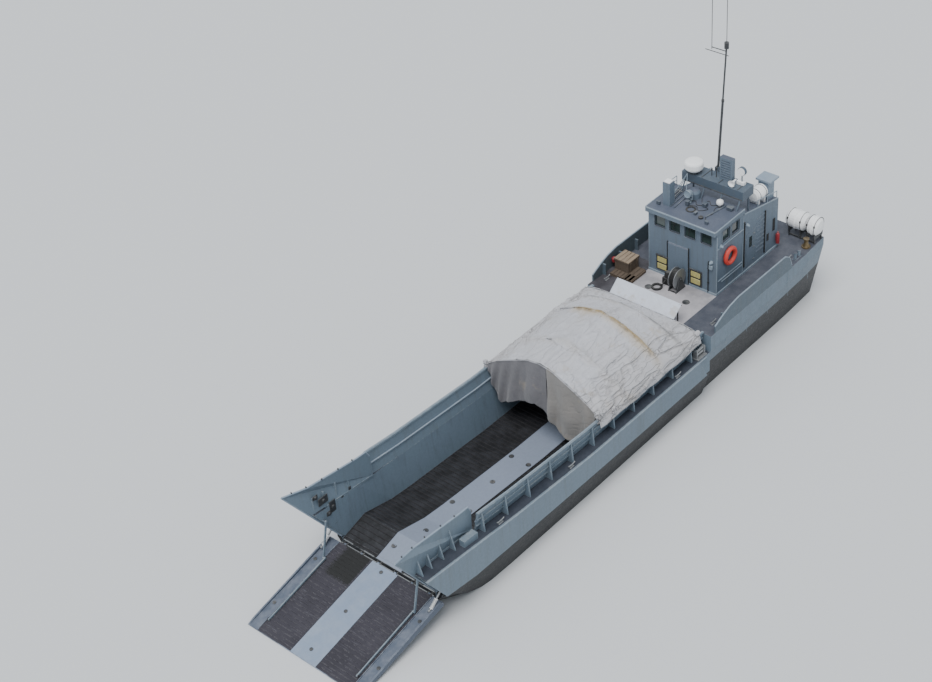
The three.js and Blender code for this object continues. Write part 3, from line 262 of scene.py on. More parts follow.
# %% Scuffs: short scratches drawn out along one axis
def scuffs_group():
    inputs = {"Along X": 0.6, "Along Y": 9.0, "Along Z": 9.0, "Threshold": 0.56, "Amount": 0.6}
    group, given, out = new_group("scuffs", inputs, ["Mask"])
    factors = add(group, "CombineXYZ", {0: given["Along X"], 1: given["Along Y"], 2: given["Along Z"]})
    lines = cloud(group, stretched(group, own_place(group), factors.outputs[0]), 1.0, 8.0, 0.75)
    above = maths(group, "SUBTRACT", lines, given["Threshold"])
    mask = times(group, ramp_mask(group, above, 0.0, 0.07), given["Amount"], clamp=True)
    group.links.new(mask, out["Mask"])
    return group


SCUFFS = scuffs_group()
print("group:", SCUFFS.name)


# %% Dust: what lies on faces that look up
def dust_group():
    group, given, out = new_group("dust", {"Scale": 2.2, "Amount": 0.5}, ["Mask"])
    drift = ramp_mask(group, cloud(group, own_place(group), given["Scale"], 7.0, 0.65), 0.4, 0.68)
    mask = times(group, ramp_mask(group, own_facing(group)[2], 0.55, 0.95), drift)
    group.links.new(times(group, mask, given["Amount"], clamp=True), out["Mask"])
    return group


DUST = dust_group()
print("group:", DUST.name)

# %% [markdown]
# ## Painted metal
# Nearly all the craft is painted plate. One function layers the shared effects over a base colour: tone
# first, then streaks and dust, and last the edges, where a paler worn coat shows. Each finish of the
# craft calls it with its own colours, so that they belong together without looking alike.

# %% A painted plate, from bottom coat to worn edge
def painted(name, colour, worn=rgb(0.42, 0.46, 0.48), dirt=rgb(0.10, 0.10, 0.09), dusty=rgb(0.50, 0.49, 0.46),
            rough=0.55, metallic=0.0, wear=0.55, runs=0.3, dust=0.25, clouds=0.45, bump=0.02, base=None):
    made, tree, shader = new_material(name, rough, metallic)
    tone = use(tree, TONE, {"Clouds": clouds})
    ground = base(tree) if base else colour
    darker = blend_colour(tree, 1.0, ground, rgb(0.74, 0.76, 0.78), "MULTIPLY")
    coat = blend_colour(tree, times(tree, tone["Clouds"], 0.30), ground, darker)
    coat = blend_colour(tree, times(tree, tone["Mottle"], 0.10), coat, dirt)
    run_mask = use(tree, STREAKS, {"Amount": runs})["Mask"]
    coat = blend_colour(tree, run_mask, coat, dirt)
    coat = blend_colour(tree, use(tree, DUST, {"Amount": dust})["Mask"], coat, dusty)
    edge = use(tree, EDGE_WEAR, {"Amount": wear})["Mask"]
    coat = blend_colour(tree, edge, coat, worn)
    tree.links.new(coat, shader.inputs["Base Color"])
    gloss = maths(tree, "ADD", rough, times(tree, maths(tree, "SUBTRACT", tone["Mottle"], 0.5), 0.2))
    tree.links.new(gloss, shader.inputs["Roughness"])
    relief = add(tree, "Bump", {"Height": tone["Height"], "Distance": bump, "Strength": 0.35})
    tree.links.new(relief.outputs[0], shader.inputs["Normal"])
    return made


TOPSIDE = rgb(0.150, 0.202, 0.252)
HOUSE = rgb(0.130, 0.172, 0.222)
ROOF_TOP = rgb(0.088, 0.105, 0.145)
DECK = rgb(0.034, 0.041, 0.056)
BLACK = rgb(0.014, 0.015, 0.017)
PALE_DECK = rgb(0.50, 0.475, 0.49)
arch_paint = painted("arch_paint", rgb(0.075, 0.105, 0.142), wear=0.3, runs=0.3, dust=0.08)
dark_steel = painted("dark_steel", rgb(0.03, 0.033, 0.038), worn=rgb(0.16, 0.15, 0.14), rough=0.5, wear=0.7)
bottom_paint = painted("bottom_paint", BLACK, worn=rgb(0.06, 0.06, 0.06), rough=0.7, runs=0.2)
print("paints:", arch_paint.name, dark_steel.name, bottom_paint.name)

# %% [markdown]
# ## One hull, several paints
# The forward hull is one solid, but it wears four coats: black below the knuckle, blue-grey sides, a
# dark walkway along each side deck and a worn well floor. Faces can't be cut on a fixed solid, so the
# material itself decides, from the height and the way a point faces, which coat it shows.

# %% Masks from place and facing
def place_masks(tree):
    return add(tree, "SeparateXYZ", {0: own_place(tree)}).outputs, own_facing(tree)


def over(tree, value, edge, soft=0.004):
    return ramp_mask(tree, value, edge - soft, edge + soft)


def under(tree, value, edge, soft=0.004):
    return ramp_mask(tree, value, edge + soft, edge - soft)


def all_of(tree, *masks):
    joined = masks[0]
    for mask in masks[1:]:
        joined = times(tree, joined, mask)
    return joined


WELL_FLOOR = rgb(0.007, 0.007, 0.008)
WELL_STRIP = rgb(0.235, 0.272, 0.345)
SIDE_DECK_FROM = 2.30
WELL_HALF = 2.29
STRIP_HALF = 0.62
KNUCKLE = 2.08
KNUCKLE_RISE = 0.26


def hull_ground(tree):
    spot, facing = place_masks(tree)
    across = maths(tree, "ABSOLUTE", spot[1])
    up = over(tree, facing[2], 0.6, 0.1)
    outside = over(tree, across, SIDE_DECK_FROM)
    knuckle = maths(tree, "ADD", KNUCKLE, times(tree, ramp_mask(tree, spot[0], 7.0, 12.3), KNUCKLE_RISE))
    low = under(tree, maths(tree, "SUBTRACT", spot[2], knuckle), 0.0)
    outward = over(tree, times(tree, spot[1], facing[1]), 0.05, 0.04)
    wall = under(tree, maths(tree, "ABSOLUTE", facing[1]), 0.05, 0.04)
    shell = all_of(tree, low, outside, maths(tree, "MAXIMUM", outward, wall))
    colour = blend_colour(tree, shell, TOPSIDE, BLACK)
    colour = blend_colour(tree, all_of(tree, up, outside, over(tree, spot[2], 2.9)), colour, DECK)
    well = all_of(tree, up, under(tree, across, WELL_HALF))
    colour = blend_colour(tree, well, colour, WELL_FLOOR)
    strip = all_of(tree, well, under(tree, across, STRIP_HALF))
    colour = blend_colour(tree, strip, colour, WELL_STRIP)
    return blend_colour(tree, under(tree, facing[2], -0.5), colour, BLACK)


hull_paint_forward = painted("hull_paint_forward", TOPSIDE, dirt=rgb(0.05, 0.05, 0.055), runs=0.3,
                             dusty=rgb(0.20, 0.21, 0.25), dust=0.10, base=hull_ground)
print("material:", hull_paint_forward.name)


# %% The aft hull: pale deck ahead of the wheelhouse, dark decks, a black bottom
BLACK_BELOW = 2.45
PALE_HALF = 1.68
FOOT_TRAFFIC_X = -5.65


def aft_ground(tree):
    spot, facing = place_masks(tree)
    up = over(tree, facing[2], 0.6, 0.1)
    colour = blend_colour(tree, under(tree, spot[2], BLACK_BELOW), TOPSIDE, BLACK)
    colour = blend_colour(tree, up, colour, rgb(0.062, 0.069, 0.090))
    across = maths(tree, "ABSOLUTE", spot[1])
    pale = all_of(tree, up, over(tree, spot[0], -6.0), under(tree, across, PALE_HALF))
    stain = use(tree, TONE, {"Clouds": 1.1})["Clouds"]
    worked = ramp_mask(tree, away_from(tree, spot[0], FOOT_TRAFFIC_X), 1.0, 0.1)
    patches = times(tree, stain, maths(tree, "ADD", 0.25, times(tree, worked, 0.6)), clamp=True)
    scrubbed = blend_colour(tree, patches, PALE_DECK, rgb(0.11, 0.11, 0.125))
    # Painted shade: the deck strip beside the starboard bulwark, ahead of the wheelhouse, is darkened to near
    # black.
    starboard_deck_shade = all_of(tree, up, over(tree, spot[0], -6.4), under(tree, spot[1], -PALE_HALF))
    colour = blend_colour(tree, starboard_deck_shade, colour, rgb(0.040, 0.036, 0.042))
    return blend_colour(tree, pale, colour, scrubbed)


def bulwark_ground(tree):
    """Blue outside, with painted shade on the faces that look inboard."""
    spot, facing = place_masks(tree)
    inboard = over(tree, times(tree, -1.0, times(tree, spot[1], facing[1])), 0.3, 0.1)
    return blend_colour(tree, inboard, rgb(0.088, 0.123, 0.155), rgb(0.075, 0.098, 0.112))


hull_paint_aft = painted("hull_paint_aft", TOPSIDE, dirt=rgb(0.06, 0.055, 0.055), runs=0.2,
                         dusty=rgb(0.30, 0.30, 0.33), dust=0.16, base=aft_ground)
bulwark_paint = painted("bulwark_paint", TOPSIDE, worn=rgb(0.36, 0.42, 0.46), wear=0.5, runs=0.25,
                        base=bulwark_ground)
topside_paint = painted("hull_paint", TOPSIDE, worn=rgb(0.47, 0.50, 0.50), wear=0.6, runs=0.32)
ramp_paint = painted("ramp_paint", rgb(0.245, 0.310, 0.385), worn=rgb(0.46, 0.50, 0.54), dust=0.2, runs=0.1)
print("materials:", hull_paint_aft.name, bulwark_paint.name, topside_paint.name, ramp_paint.name)


# %% The ramp plate and the houses, each in two tones
def ramp_ground(tree):
    """Pale down the middle of the ramp, dark outside the tracks."""
    spot, _ = place_masks(tree)
    middle = under(tree, maths(tree, "ABSOLUTE", spot[1]), 1.2)
    return blend_colour(tree, middle, rgb(0.082, 0.104, 0.146), rgb(0.222, 0.282, 0.380))


def house_ground(tree):
    """Walls in the house colour, roofs and other tops darker."""
    _, facing = place_masks(tree)
    return blend_colour(tree, over(tree, facing[2], 0.6, 0.1), HOUSE, ROOF_TOP)


ramp_plate_paint = painted("ramp_plate_paint", TOPSIDE, worn=rgb(0.46, 0.50, 0.54), runs=0.1,
                           dusty=rgb(0.42, 0.43, 0.47), dust=0.2, base=ramp_ground)
house_paint = painted("house_paint", HOUSE, wear=0.35, runs=0.4, clouds=0.8,
                      dusty=rgb(0.26, 0.26, 0.30), dust=0.12, base=house_ground)
print("materials:", ramp_plate_paint.name, house_paint.name)

# %% [markdown]
# ## Treads
# The tracks are thick anti-slip paint on plate with cross bars. Wheels and boots have ground it to a
# purple-grey, and the crown of each bar is rubbed pale in broken lines. Scuffs that run across the ramp
# give those lines, and a rough, grainy bump keeps the paint from shining.

# %% Tread paint
def tread_material():
    made, tree, shader = new_material("tread_paint", 0.85)
    spot, _ = place_masks(tree)
    tone = use(tree, TONE, {"Clouds": 0.8, "Mottle": 14.0, "Grain": 90.0})
    coat = blend_colour(tree, tone["Clouds"], rgb(0.030, 0.028, 0.038), rgb(0.046, 0.043, 0.056))
    coat = blend_colour(tree, times(tree, tone["Mottle"], 0.3), coat, rgb(0.035, 0.033, 0.038))
    rubbed = {"Along X": 16.0, "Along Y": 1.4, "Along Z": 16.0, "Threshold": 0.58, "Amount": 0.3}
    coat = blend_colour(tree, use(tree, SCUFFS, rubbed)["Mask"], coat, rgb(0.20, 0.20, 0.23))
    edge = use(tree, EDGE_WEAR, {"Radius": 0.02, "Amount": 0.5})["Mask"]
    coat = blend_colour(tree, edge, coat, rgb(0.26, 0.25, 0.26))
    # A near-black patch on the starboard tread, between y -1.75 and -0.7, from the hinge to about x 13.45,
    # with ragged edges.
    ragged = times(tree, tone["Mottle"], 0.25)
    fore = under(tree, maths(tree, "ADD", spot[0], ragged), 13.45, 0.05)
    outer = over(tree, maths(tree, "ADD", spot[1], ragged), -1.75, 0.1)
    dark_tread_patch = all_of(tree, under(tree, spot[1], -0.7), fore, outer)
    coat = blend_colour(tree, times(tree, dark_tread_patch, 0.85), coat, rgb(0.012, 0.013, 0.011))
    tree.links.new(coat, shader.inputs["Base Color"])
    relief = add(tree, "Bump", {"Height": tone["Height"], "Distance": 0.02, "Strength": 0.6})
    tree.links.new(relief.outputs[0], shader.inputs["Normal"])
    return made


tread_paint = tread_material()
print("material:", tread_paint.name)

# %% [markdown]
# ## Canvas
# The cover is heavy off-white tarpaulin, years old. Its weave is far finer than the picture shows, but
# it is there in the bump for a close look. What shows from far off is the stain, warm and uneven along
# the seams over the hoops and grey where water has stood, and painted shade: a dark warm line in each fold.

# %% Weave as its own group, for every cloth
def weave_group():
    group, given, out = new_group("weave", {"Threads": 420.0}, ["Height"])
    spot = own_place(group)
    warp = add(group, "TexWave", {"Vector": spot, "Scale": given["Threads"]}, bands_direction="X")
    weft = add(group, "TexWave", {"Vector": spot, "Scale": given["Threads"]}, bands_direction="Y")
    group.links.new(maths(group, "ADD", warp.outputs[1], weft.outputs[1]), out["Height"])
    return group


WEAVE = weave_group()
print("group:", WEAVE.name)


# %% Crumple: thin bent lines where slack cloth has creased, for painted crease shade and for relief
def crumple_group():
    group, given, out = new_group("crumple", {"Scale": 1.1, "Width": 0.055}, ["Lines"])
    drawn = stretched(group, own_place(group), (0.55, 1.6, 2.1))
    total = 0.0
    for factor, shift in ((1.0, 0.0), (2.3, 5.0)):
        moved = add(group, "VectorMath", {0: drawn, 1: (shift, shift, shift)}, operation="ADD").outputs[0]
        scale = times(group, given["Scale"], factor)
        bent = add(group, "TexNoise", {"Vector": moved, "Scale": scale, "Detail": 1.0, "Distortion": 0.35})
        away = away_from(group, bent.outputs[0], 0.5)
        line = add(group, "MapRange", {0: away, 1: given["Width"], 2: 0.0}, interpolation_type="SMOOTHSTEP")
        total = maths(group, "ADD", total, times(group, line.outputs[0], 1.0 / factor))
    group.links.new(total, out["Lines"])
    return group


CRUMPLE = crumple_group()
print("group:", CRUMPLE.name)


# %% Canvas: stains, seams over the hoops, creases and weave
SEAM_MIDDLE_Y = 0.65


def canvas_material(name, clean, stain, seams=(), flank=(1.5, 2.5), slack=(0.22, 0.50)):
    """Seams are rows of x, width, colour, strength and reach. Slack: crumple, as painted crease shade and
    relief, on top and more on the flanks.
    """
    made, tree, shader = new_material(name, 0.92)
    shader.inputs["Sheen Weight"].default_value = 0.25
    tone = use(tree, TONE, {"Clouds": 0.9, "Mottle": 5.0, "Grain": 60.0})
    cloth = blend_colour(tree, times(tree, tone["Clouds"], 0.4), clean, stain)
    cloth = blend_colour(tree, times(tree, tone["Mottle"], 0.18), cloth, rgb(0.30, 0.29, 0.28))
    blots = {"Along X": 1.3, "Along Y": 0.9, "Along Z": 0.9, "Threshold": 0.57, "Amount": 0.4}
    cloth = blend_colour(tree, use(tree, SCUFFS, blots)["Mask"], cloth, rgb(0.38, 0.32, 0.23))
    spot, _ = place_masks(tree)
    broken = ramp_mask(tree, cloud(tree, own_place(tree), 1.7, 4.0), 0.30, 0.50)
    for x, width, colour, strength, reach in seams:
        inner = ramp_mask(tree, away_from(tree, spot[1], SEAM_MIDDLE_Y), reach + 0.4, reach)
        line = times(tree, ramp_mask(tree, away_from(tree, spot[0], x), width, width * 0.3), strength)
        cloth = blend_colour(tree, all_of(tree, line, broken, inner), cloth, colour)
    side = ramp_mask(tree, maths(tree, "ABSOLUTE", spot[1]), *flank)
    creased = maths(tree, "ADD", slack[0], times(tree, side, slack[1]))
    lines = times(tree, use(tree, CRUMPLE)["Lines"], creased)
    cloth = blend_colour(tree, times(tree, side, 0.35), cloth, stain)
    # Painted shade: the cloth is darkened along the crumple lines, as if shade lay in each crease.
    cloth = blend_colour(tree, times(tree, lines, 0.42, clamp=True), cloth, rgb(0.20, 0.18, 0.165))
    tree.links.new(cloth, shader.inputs["Base Color"])
    fine = maths(tree, "ADD", times(tree, use(tree, WEAVE)["Height"], 0.3), tone["Height"])
    fine = add(tree, "Bump", {"Height": fine, "Distance": 0.01, "Strength": 0.25}).outputs[0]
    creases = {"Height": lines, "Distance": 0.12, "Strength": 0.8, "Normal": fine}
    tree.links.new(add(tree, "Bump", creases, invert=True).outputs[0], shader.inputs["Normal"])
    return made


OCHRE = rgb(0.31, 0.23, 0.12)
GREY_LINE = rgb(0.14, 0.14, 0.15)
HOOP_SEAMS = [
    (-0.62, 0.34, rgb(0.45, 0.38, 0.27), 0.55, 1.9), (-0.66, 0.13, OCHRE, 1.0, 1.7),
    (-2.08, 0.30, rgb(0.40, 0.39, 0.38), 0.5, 2.6), (-2.10, 0.13, GREY_LINE, 0.8, 2.6),
    (1.64, 0.30, rgb(0.44, 0.42, 0.40), 0.4, 2.6), (3.15, 0.06, GREY_LINE, 0.5, 3.0),
]
canvas = canvas_material("canvas", rgb(0.505, 0.510, 0.550), rgb(0.42, 0.40, 0.39), HOOP_SEAMS)
canvas_pale = canvas_material("canvas_pale", rgb(0.60, 0.64, 0.72), rgb(0.53, 0.54, 0.58),
                              flank=(8.0, 9.0), slack=(0.06, 0.0))
print("cloths:", canvas.name, canvas_pale.name)

# %% [markdown]
# ## The smaller finishes
# White moulded shell for the radome and rafts, glass, orange foam, weathered wood, bronze and bare steel
# each need few nodes, but each has its own sign of use: a grey bloom on the white, chalk on the orange,
# grain in the wood.

# %% Shell, steel, foam, wood and bronze
white_shell = painted("white_shell", rgb(0.95, 0.95, 0.95), worn=rgb(0.78, 0.72, 0.70),
                      dirt=rgb(0.52, 0.50, 0.46), dusty=rgb(0.78, 0.78, 0.76), rough=0.4, wear=0.3,
                      runs=0.25, dust=0.15, bump=0.004)
bright_steel = painted("bright_steel", rgb(0.33, 0.34, 0.35), worn=rgb(0.55, 0.55, 0.54),
                       dirt=rgb(0.12, 0.09, 0.06), rough=0.42, metallic=0.6, wear=0.6, bump=0.004)
bronze = painted("bronze", rgb(0.20, 0.145, 0.075), worn=rgb(0.45, 0.34, 0.18), dirt=rgb(0.06, 0.07, 0.05),
                 rough=0.45, metallic=0.7, bump=0.004)
orange_foam = painted("orange_foam", rgb(0.60, 0.045, 0.03), worn=rgb(0.62, 0.22, 0.14),
                      dirt=rgb(0.25, 0.06, 0.04), rough=0.6, wear=0.4, bump=0.006)


def wood_material():
    made, tree, shader = new_material("crate_wood", 0.85)
    fibres = {"Along X": 1.5, "Along Y": 22.0, "Along Z": 22.0, "Threshold": 0.5, "Amount": 0.7}
    grain = use(tree, SCUFFS, fibres)["Mask"]
    tone = use(tree, TONE, {"Clouds": 1.2, "Mottle": 8.0})
    plank = blend_colour(tree, grain, rgb(0.27, 0.20, 0.135), rgb(0.13, 0.095, 0.065))
    plank = blend_colour(tree, times(tree, tone["Clouds"], 0.4), plank, rgb(0.28, 0.22, 0.17))
    spot, facing = place_masks(tree)
    shaded = maths(tree, "MAXIMUM", under(tree, facing[2], 0.5, 0.2), under(tree, spot[2], 3.98))
    plank = blend_colour(tree, times(tree, shaded, 0.72), plank, rgb(0.035, 0.024, 0.018))
    tree.links.new(plank, shader.inputs["Base Color"])
    relief = add(tree, "Bump", {"Height": grain, "Distance": 0.01, "Strength": 0.4})
    tree.links.new(relief.outputs[0], shader.inputs["Normal"])
    return made


def glass_material():
    made, tree, shader = new_material("window_glass", 0.08)
    shader.inputs["Coat Weight"].default_value = 0.6
    smear = use(tree, TONE, {"Clouds": 1.5, "Mottle": 6.0})
    pane = blend_colour(tree, smear["Clouds"], rgb(0.012, 0.018, 0.018), rgb(0.05, 0.075, 0.07))
    tree.links.new(pane, shader.inputs["Base Color"])
    return made


crate_wood = wood_material()
window_glass = glass_material()
print("small finishes:", len(bpy.data.materials), "materials in all")

# %% Each solid gets its finish
FINISHES = {
    "hull_forward": hull_paint_forward, "hull_aft": hull_paint_aft,
    "topside_belt": topside_paint, "coaming": topside_paint, "bow_horn": topside_paint,
    "aft_bulwark": bulwark_paint, "ramp_plate": ramp_plate_paint, "ramp_tread": tread_paint,
    "ramp_sill": dark_steel, "ramp_hinge_pin": bright_steel, "ramp_stay_upper": topside_paint,
    "ramp_stay_lower": topside_paint, "ramp_ram_rod": bright_steel, "canopy_cover": canvas,
    "canopy_frame": bright_steel, "canopy_panel_stand": dark_steel, "canopy_curtain": canvas,
    "canopy_aft_panel": canvas_pale,
    "wheelhouse_glass": window_glass, "wheelhouse": house_paint, "deckhouse": house_paint,
    "front_casing": house_paint, "roof_arch": arch_paint, "radome": white_shell,
    "roof_pedestal": house_paint, "louvre_box": house_paint, "vent_hood": ramp_paint,
    "roof_raft": white_shell, "stern_raft": white_shell, "raft_cradle": dark_steel,
    "deck_crate": crate_wood, "lifebuoy": orange_foam, "fairlead": bright_steel,
    "side_locker": topside_paint, "hose_reel": bright_steel, "reel_stand": dark_steel,
    "capstan": bronze, "mast": dark_steel, "mast_pin": bright_steel, "propeller": bronze,
    "rudder": bottom_paint,
}


def finish_for(node):
    fitting = [name for name in FINISHES if node.startswith(name)]
    return FINISHES[max(fitting, key=len)]


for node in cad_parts:
    solid = bpy.data.objects[node]
    solid.data.materials.clear()
    solid.data.materials.append(finish_for(node))
print("painted solids:", len(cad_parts))

# %% [markdown]
# ## Small shapes, joined into pieces
# Rails, brackets, bars and fittings are all swept, turned or cut from a few kinds of shape. Each helper
# adds one such shape to an open mesh, and `place` turns the whole mesh into one piece, paints it and
# lets it ride on a body. Many small things in one mesh are lighter than many objects.

# %% Blocks
def block(mesh, corner, opposite, ease=0.006):
    """A box between two opposite corners, with its edges eased."""
    size = [abs(b - a) for a, b in zip(corner, opposite)]
    middle = [(a + b) / 2 for a, b in zip(corner, opposite)]
    made = bmesh.ops.create_cube(mesh, size=1.0)["verts"]
    for vert in made:
        vert.co = Vector([m + c * s for m, c, s in zip(middle, vert.co, size)])
    edges = list({edge for vert in made for edge in vert.link_edges})
    bmesh.ops.bevel(mesh, geom=edges, offset=min(ease, 0.3 * min(size)), segments=1, affect="EDGES")


def standing(mesh, x, y, z, deep, wide, high, ease=0.006):
    """A box that stands on z, centred on x and y."""
    block(mesh, (x - deep / 2, y - wide / 2, z), (x + deep / 2, y + wide / 2, z + high), ease)


print("blocks ready")


# %% Bars, square or round, and the rings of points they are skinned over
def ring_frame(along, up):
    side = along.cross(up)
    if side.length < 1e-4:
        side = along.cross(Vector((1.0, 0.0, 0.0)))
    side.normalize()
    return side, side.cross(along).normalized()


def skin_rings(mesh, rings, closed=False):
    """Quads between rings of points, and a cap on each end."""
    loops = [[mesh.verts.new(point) for point in ring] for ring in rings]
    count = len(loops[0])
    pairs = list(zip(loops, loops[1:])) + ([(loops[-1], loops[0])] if closed else [])
    for ring, following in pairs:
        for i in range(count):
            j = (i + 1) % count
            mesh.faces.new((ring[i], ring[j], following[j], following[i]))
    if not closed:
        mesh.faces.new(loops[0][::-1])
        mesh.faces.new(loops[-1])


def beam(mesh, start, end, wide, deep, up=(0, 0, 1)):
    """A straight bar of rectangular section between two points."""
    start, end = Vector(start), Vector(end)
    side, top = ring_frame((end - start).normalized(), Vector(up))
    corners = [(-wide, -deep), (wide, -deep), (wide, deep), (-wide, deep)]
    section = [side * (a / 2) + top * (b / 2) for a, b in corners]
    skin_rings(mesh, [[start + c for c in section], [end + c for c in section]])


def even_turns(count, start=0.0):
    """Even angles once round a circle."""
    return [start + 2 * math.pi * step / count for step in range(count)]


def rod(mesh, points, radius, sides=8, closed=False):
    """A round bar along a row of points."""
    points = [Vector(point) for point in points]
    count = len(points)
    rings = []
    top = Vector((0.03, 0.02, 1.0)).normalized()
    for at, point in enumerate(points):
        back = points[(at - 1) % count] if closed else points[max(at - 1, 0)]
        ahead = points[(at + 1) % count] if closed else points[min(at + 1, count - 1)]
        side, top = ring_frame((ahead - back).normalized(), top)
        rings.append([point + (side * math.cos(t) + top * math.sin(t)) * radius for t in even_turns(sides)])
    skin_rings(mesh, rings, closed)


def hoop(mesh, centre, radius, thick, plane, count, start=0.0):
    """A closed ring of round bar. The plane names its two axes, as in "xz"."""
    across, upward = ["xyz".index(axis) for axis in plane]
    ring = []
    for turn in even_turns(count, start):
        point = list(centre)
        point[across] += radius * math.cos(turn)
        point[upward] += radius * math.sin(turn)
        ring.append(point)
    rod(mesh, ring, thick, 6, closed=True)


print("bars ready")


# %% Turned shapes
def turned(mesh, outline, centre, axis=(0, 0, 1), count=24):
    """An outline of radius and height, turned round an axis through the centre."""
    along = Vector(axis).normalized()
    side, top = ring_frame(along, Vector((0.0, 0.0, 1.0)) if abs(along.z) < 0.9 else Vector((1.0, 0.0, 0.0)))
    rings = []
    for radius, height in outline:
        foot = Vector(centre) + along * height
        reach = max(radius, 1e-4)
        rings.append([foot + (side * math.cos(t) + top * math.sin(t)) * reach for t in even_turns(count)])
    skin_rings(mesh, rings)


print("turned shapes ready")

# %% From an open mesh to a painted piece
SIDES = {"port": 1, "starboard": -1}
SMOOTH_BELOW = math.radians(38)


def place(name, mesh, material, body="hull"):
    """Turns an open mesh into a painted piece that rides on a body."""
    bmesh.ops.recalc_face_normals(mesh, faces=mesh.faces)
    data = bpy.data.meshes.new(name)
    mesh.to_mesh(data)
    mesh.free()
    data.polygons.foreach_set("use_smooth", [True] * len(data.polygons))
    data.set_sharp_from_angle(angle=SMOOTH_BELOW)
    data.materials.append(material)
    made = bpy.data.objects.new(name, data)
    bpy.context.collection.objects.link(made)
    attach(made, body)


def between(table, x):
    """Value at x in a table of x and value, with x falling."""
    if x >= table[0][0]:
        return table[0][1]
    for (x1, v1), (x0, v0) in zip(table, table[1:]):
        if x >= x0:
            return v0 + (v1 - v0) * (x - x0) / (x1 - x0)
    return table[-1][1]


print("pieces can be placed")

# %% [markdown]
# ## The tarpaulin over the hoops
# The real cover is one heavy tarpaulin thrown over five hoops and a ridge bar and lashed to the coamings.
# A modelled tent would look like a tin roof, so the cloth is simulated: a fine sheet starts just above the
# hoops, a little too large, and falls on them while its hems are held. What it finds by itself, the sag
# between hoops and the creases that run down from them, is what makes it read as cloth.

# %% The cover's shape: heights over half widths, at five sections
# Each row of COVER: x, then the height over each half width of ARCH_Y
ARCH_Y = [0, 0.6, 1.15, 1.7, 2.15, 2.5, 2.81, 2.89]
COVER = [
    [3.15, 5.36, 5.27, 5.02, 4.76, 4.52, 4.30, 4.03, 3.66],
    [1.70, 5.48, 5.40, 5.17, 4.90, 4.63, 4.36, 4.04, 3.62],
    [-0.60, 5.47, 5.42, 5.26, 5.02, 4.76, 4.46, 4.06, 3.62],
    [-2.00, 5.02, 5.00, 4.90, 4.74, 4.52, 4.29, 4.04, 3.62],
    [-3.15, 4.24, 4.24, 4.24, 4.24, 4.21, 4.15, 4.03, 3.66],
]
HOOPS = [3.09, 1.64, -0.66, -2.06, -3.09]


def cover_row(x):
    return [between([[row[0], row[i + 1]] for row in COVER], x) for i in range(len(ARCH_Y))]


def cover_arch(x, inset=0.0):
    """The cover's section at x, from the port hem over the crown to the starboard hem."""
    heights = cover_row(x)
    half = []
    for i, (y, z) in enumerate(zip(ARCH_Y, heights)):
        ya, za = (ARCH_Y[i - 1], heights[i - 1]) if i else (-ARCH_Y[1], heights[1])
        last = min(i + 1, len(ARCH_Y) - 1)
        yb, zb = ARCH_Y[last], heights[last]
        along = math.hypot(yb - ya, zb - za)
        half.append((y - inset * (za - zb) / along, z - inset * (yb - ya) / along))
    return half[::-1] + [(-y, z) for y, z in half[1:]]


def along_arch(points, count):
    """Evenly spaced points on an open line of y and z."""
    lengths = [math.dist(a, b) for a, b in zip(points, points[1:])]
    total = sum(lengths)
    out = []
    for step in range(count):
        left = total * step / (count - 1)
        at = 0
        while at < len(lengths) - 1 and left > lengths[at]:
            left -= lengths[at]
            at += 1
        share = min(left / lengths[at], 1.0)
        (ya, za), (yb, zb) = points[at], points[at + 1]
        out.append((ya + (yb - ya) * share, za + (zb - za) * share))
    return out, total


COVER_FRONT = 3.17
COVER_BACK = -3.165
COVER_STEPS = (140, 130)
cover_width = along_arch(cover_arch(0.0), 2)[1]
print("cover across the hoops:", round(cover_width, 2), "m, along:", COVER_FRONT - COVER_BACK)


# %% A cloth sheet from rows of points
def new_sheet(name, rows):
    count = len(rows[0])
    points = [point for row in rows for point in row]
    faces = []
    for r in range(len(rows) - 1):
        for c in range(count - 1):
            a = r * count + c
            faces.append((a, a + 1, a + 1 + count, a + count))
    data = bpy.data.meshes.new(name)
    data.from_pydata(points, [], faces)
    data.polygons.foreach_set("use_smooth", [True] * len(faces))
    sheet = bpy.data.objects.new(name, data)
    bpy.context.collection.objects.link(sheet)
    return sheet


def folds_by_hand(x, y, z):
    """Slack ripples from noise, the same on every run."""
    broad = noise.noise(Vector((x * 0.9, y * 0.9, z * 0.6)))
    sharp = 1.0 - abs(noise.noise(Vector((x * 1.7 + 4.0, y * 2.4, z * 1.2 + 2.0))))
    crumple = 1.0 - abs(noise.noise(Vector((x * 1.5 - 3.0, y * 3.1, z * 3.3))))
    flank = min(max((abs(y) - 1.5) / 1.0, 0.0), 1.0)
    return 0.035 * broad + 0.030 * sharp ** 6 + 0.050 * flank * (crumple ** 5 - 0.35)


def cover_rows():
    rows = []
    for step in range(COVER_STEPS[0]):
        x = COVER_FRONT + (COVER_BACK - COVER_FRONT) * step / (COVER_STEPS[0] - 1)
        line, _ = along_arch(cover_arch(x, 0.012), COVER_STEPS[1])
        rows.append([(x, y, z) for y, z in line])
    return rows


def hem_weight(column):
    """1 at the lashed hems, falling to 0 a little way up the cloth."""
    edge = min(column, COVER_STEPS[1] - 1 - column)
    return max(0.0, 1.0 - edge / 4.0)


print("cover grid:", COVER_STEPS)

# %% Let the sheet fall on its hoops
DROP_FRAMES = 26
DEEPEST_SAG = 0.15
END_HOLD = 0.9


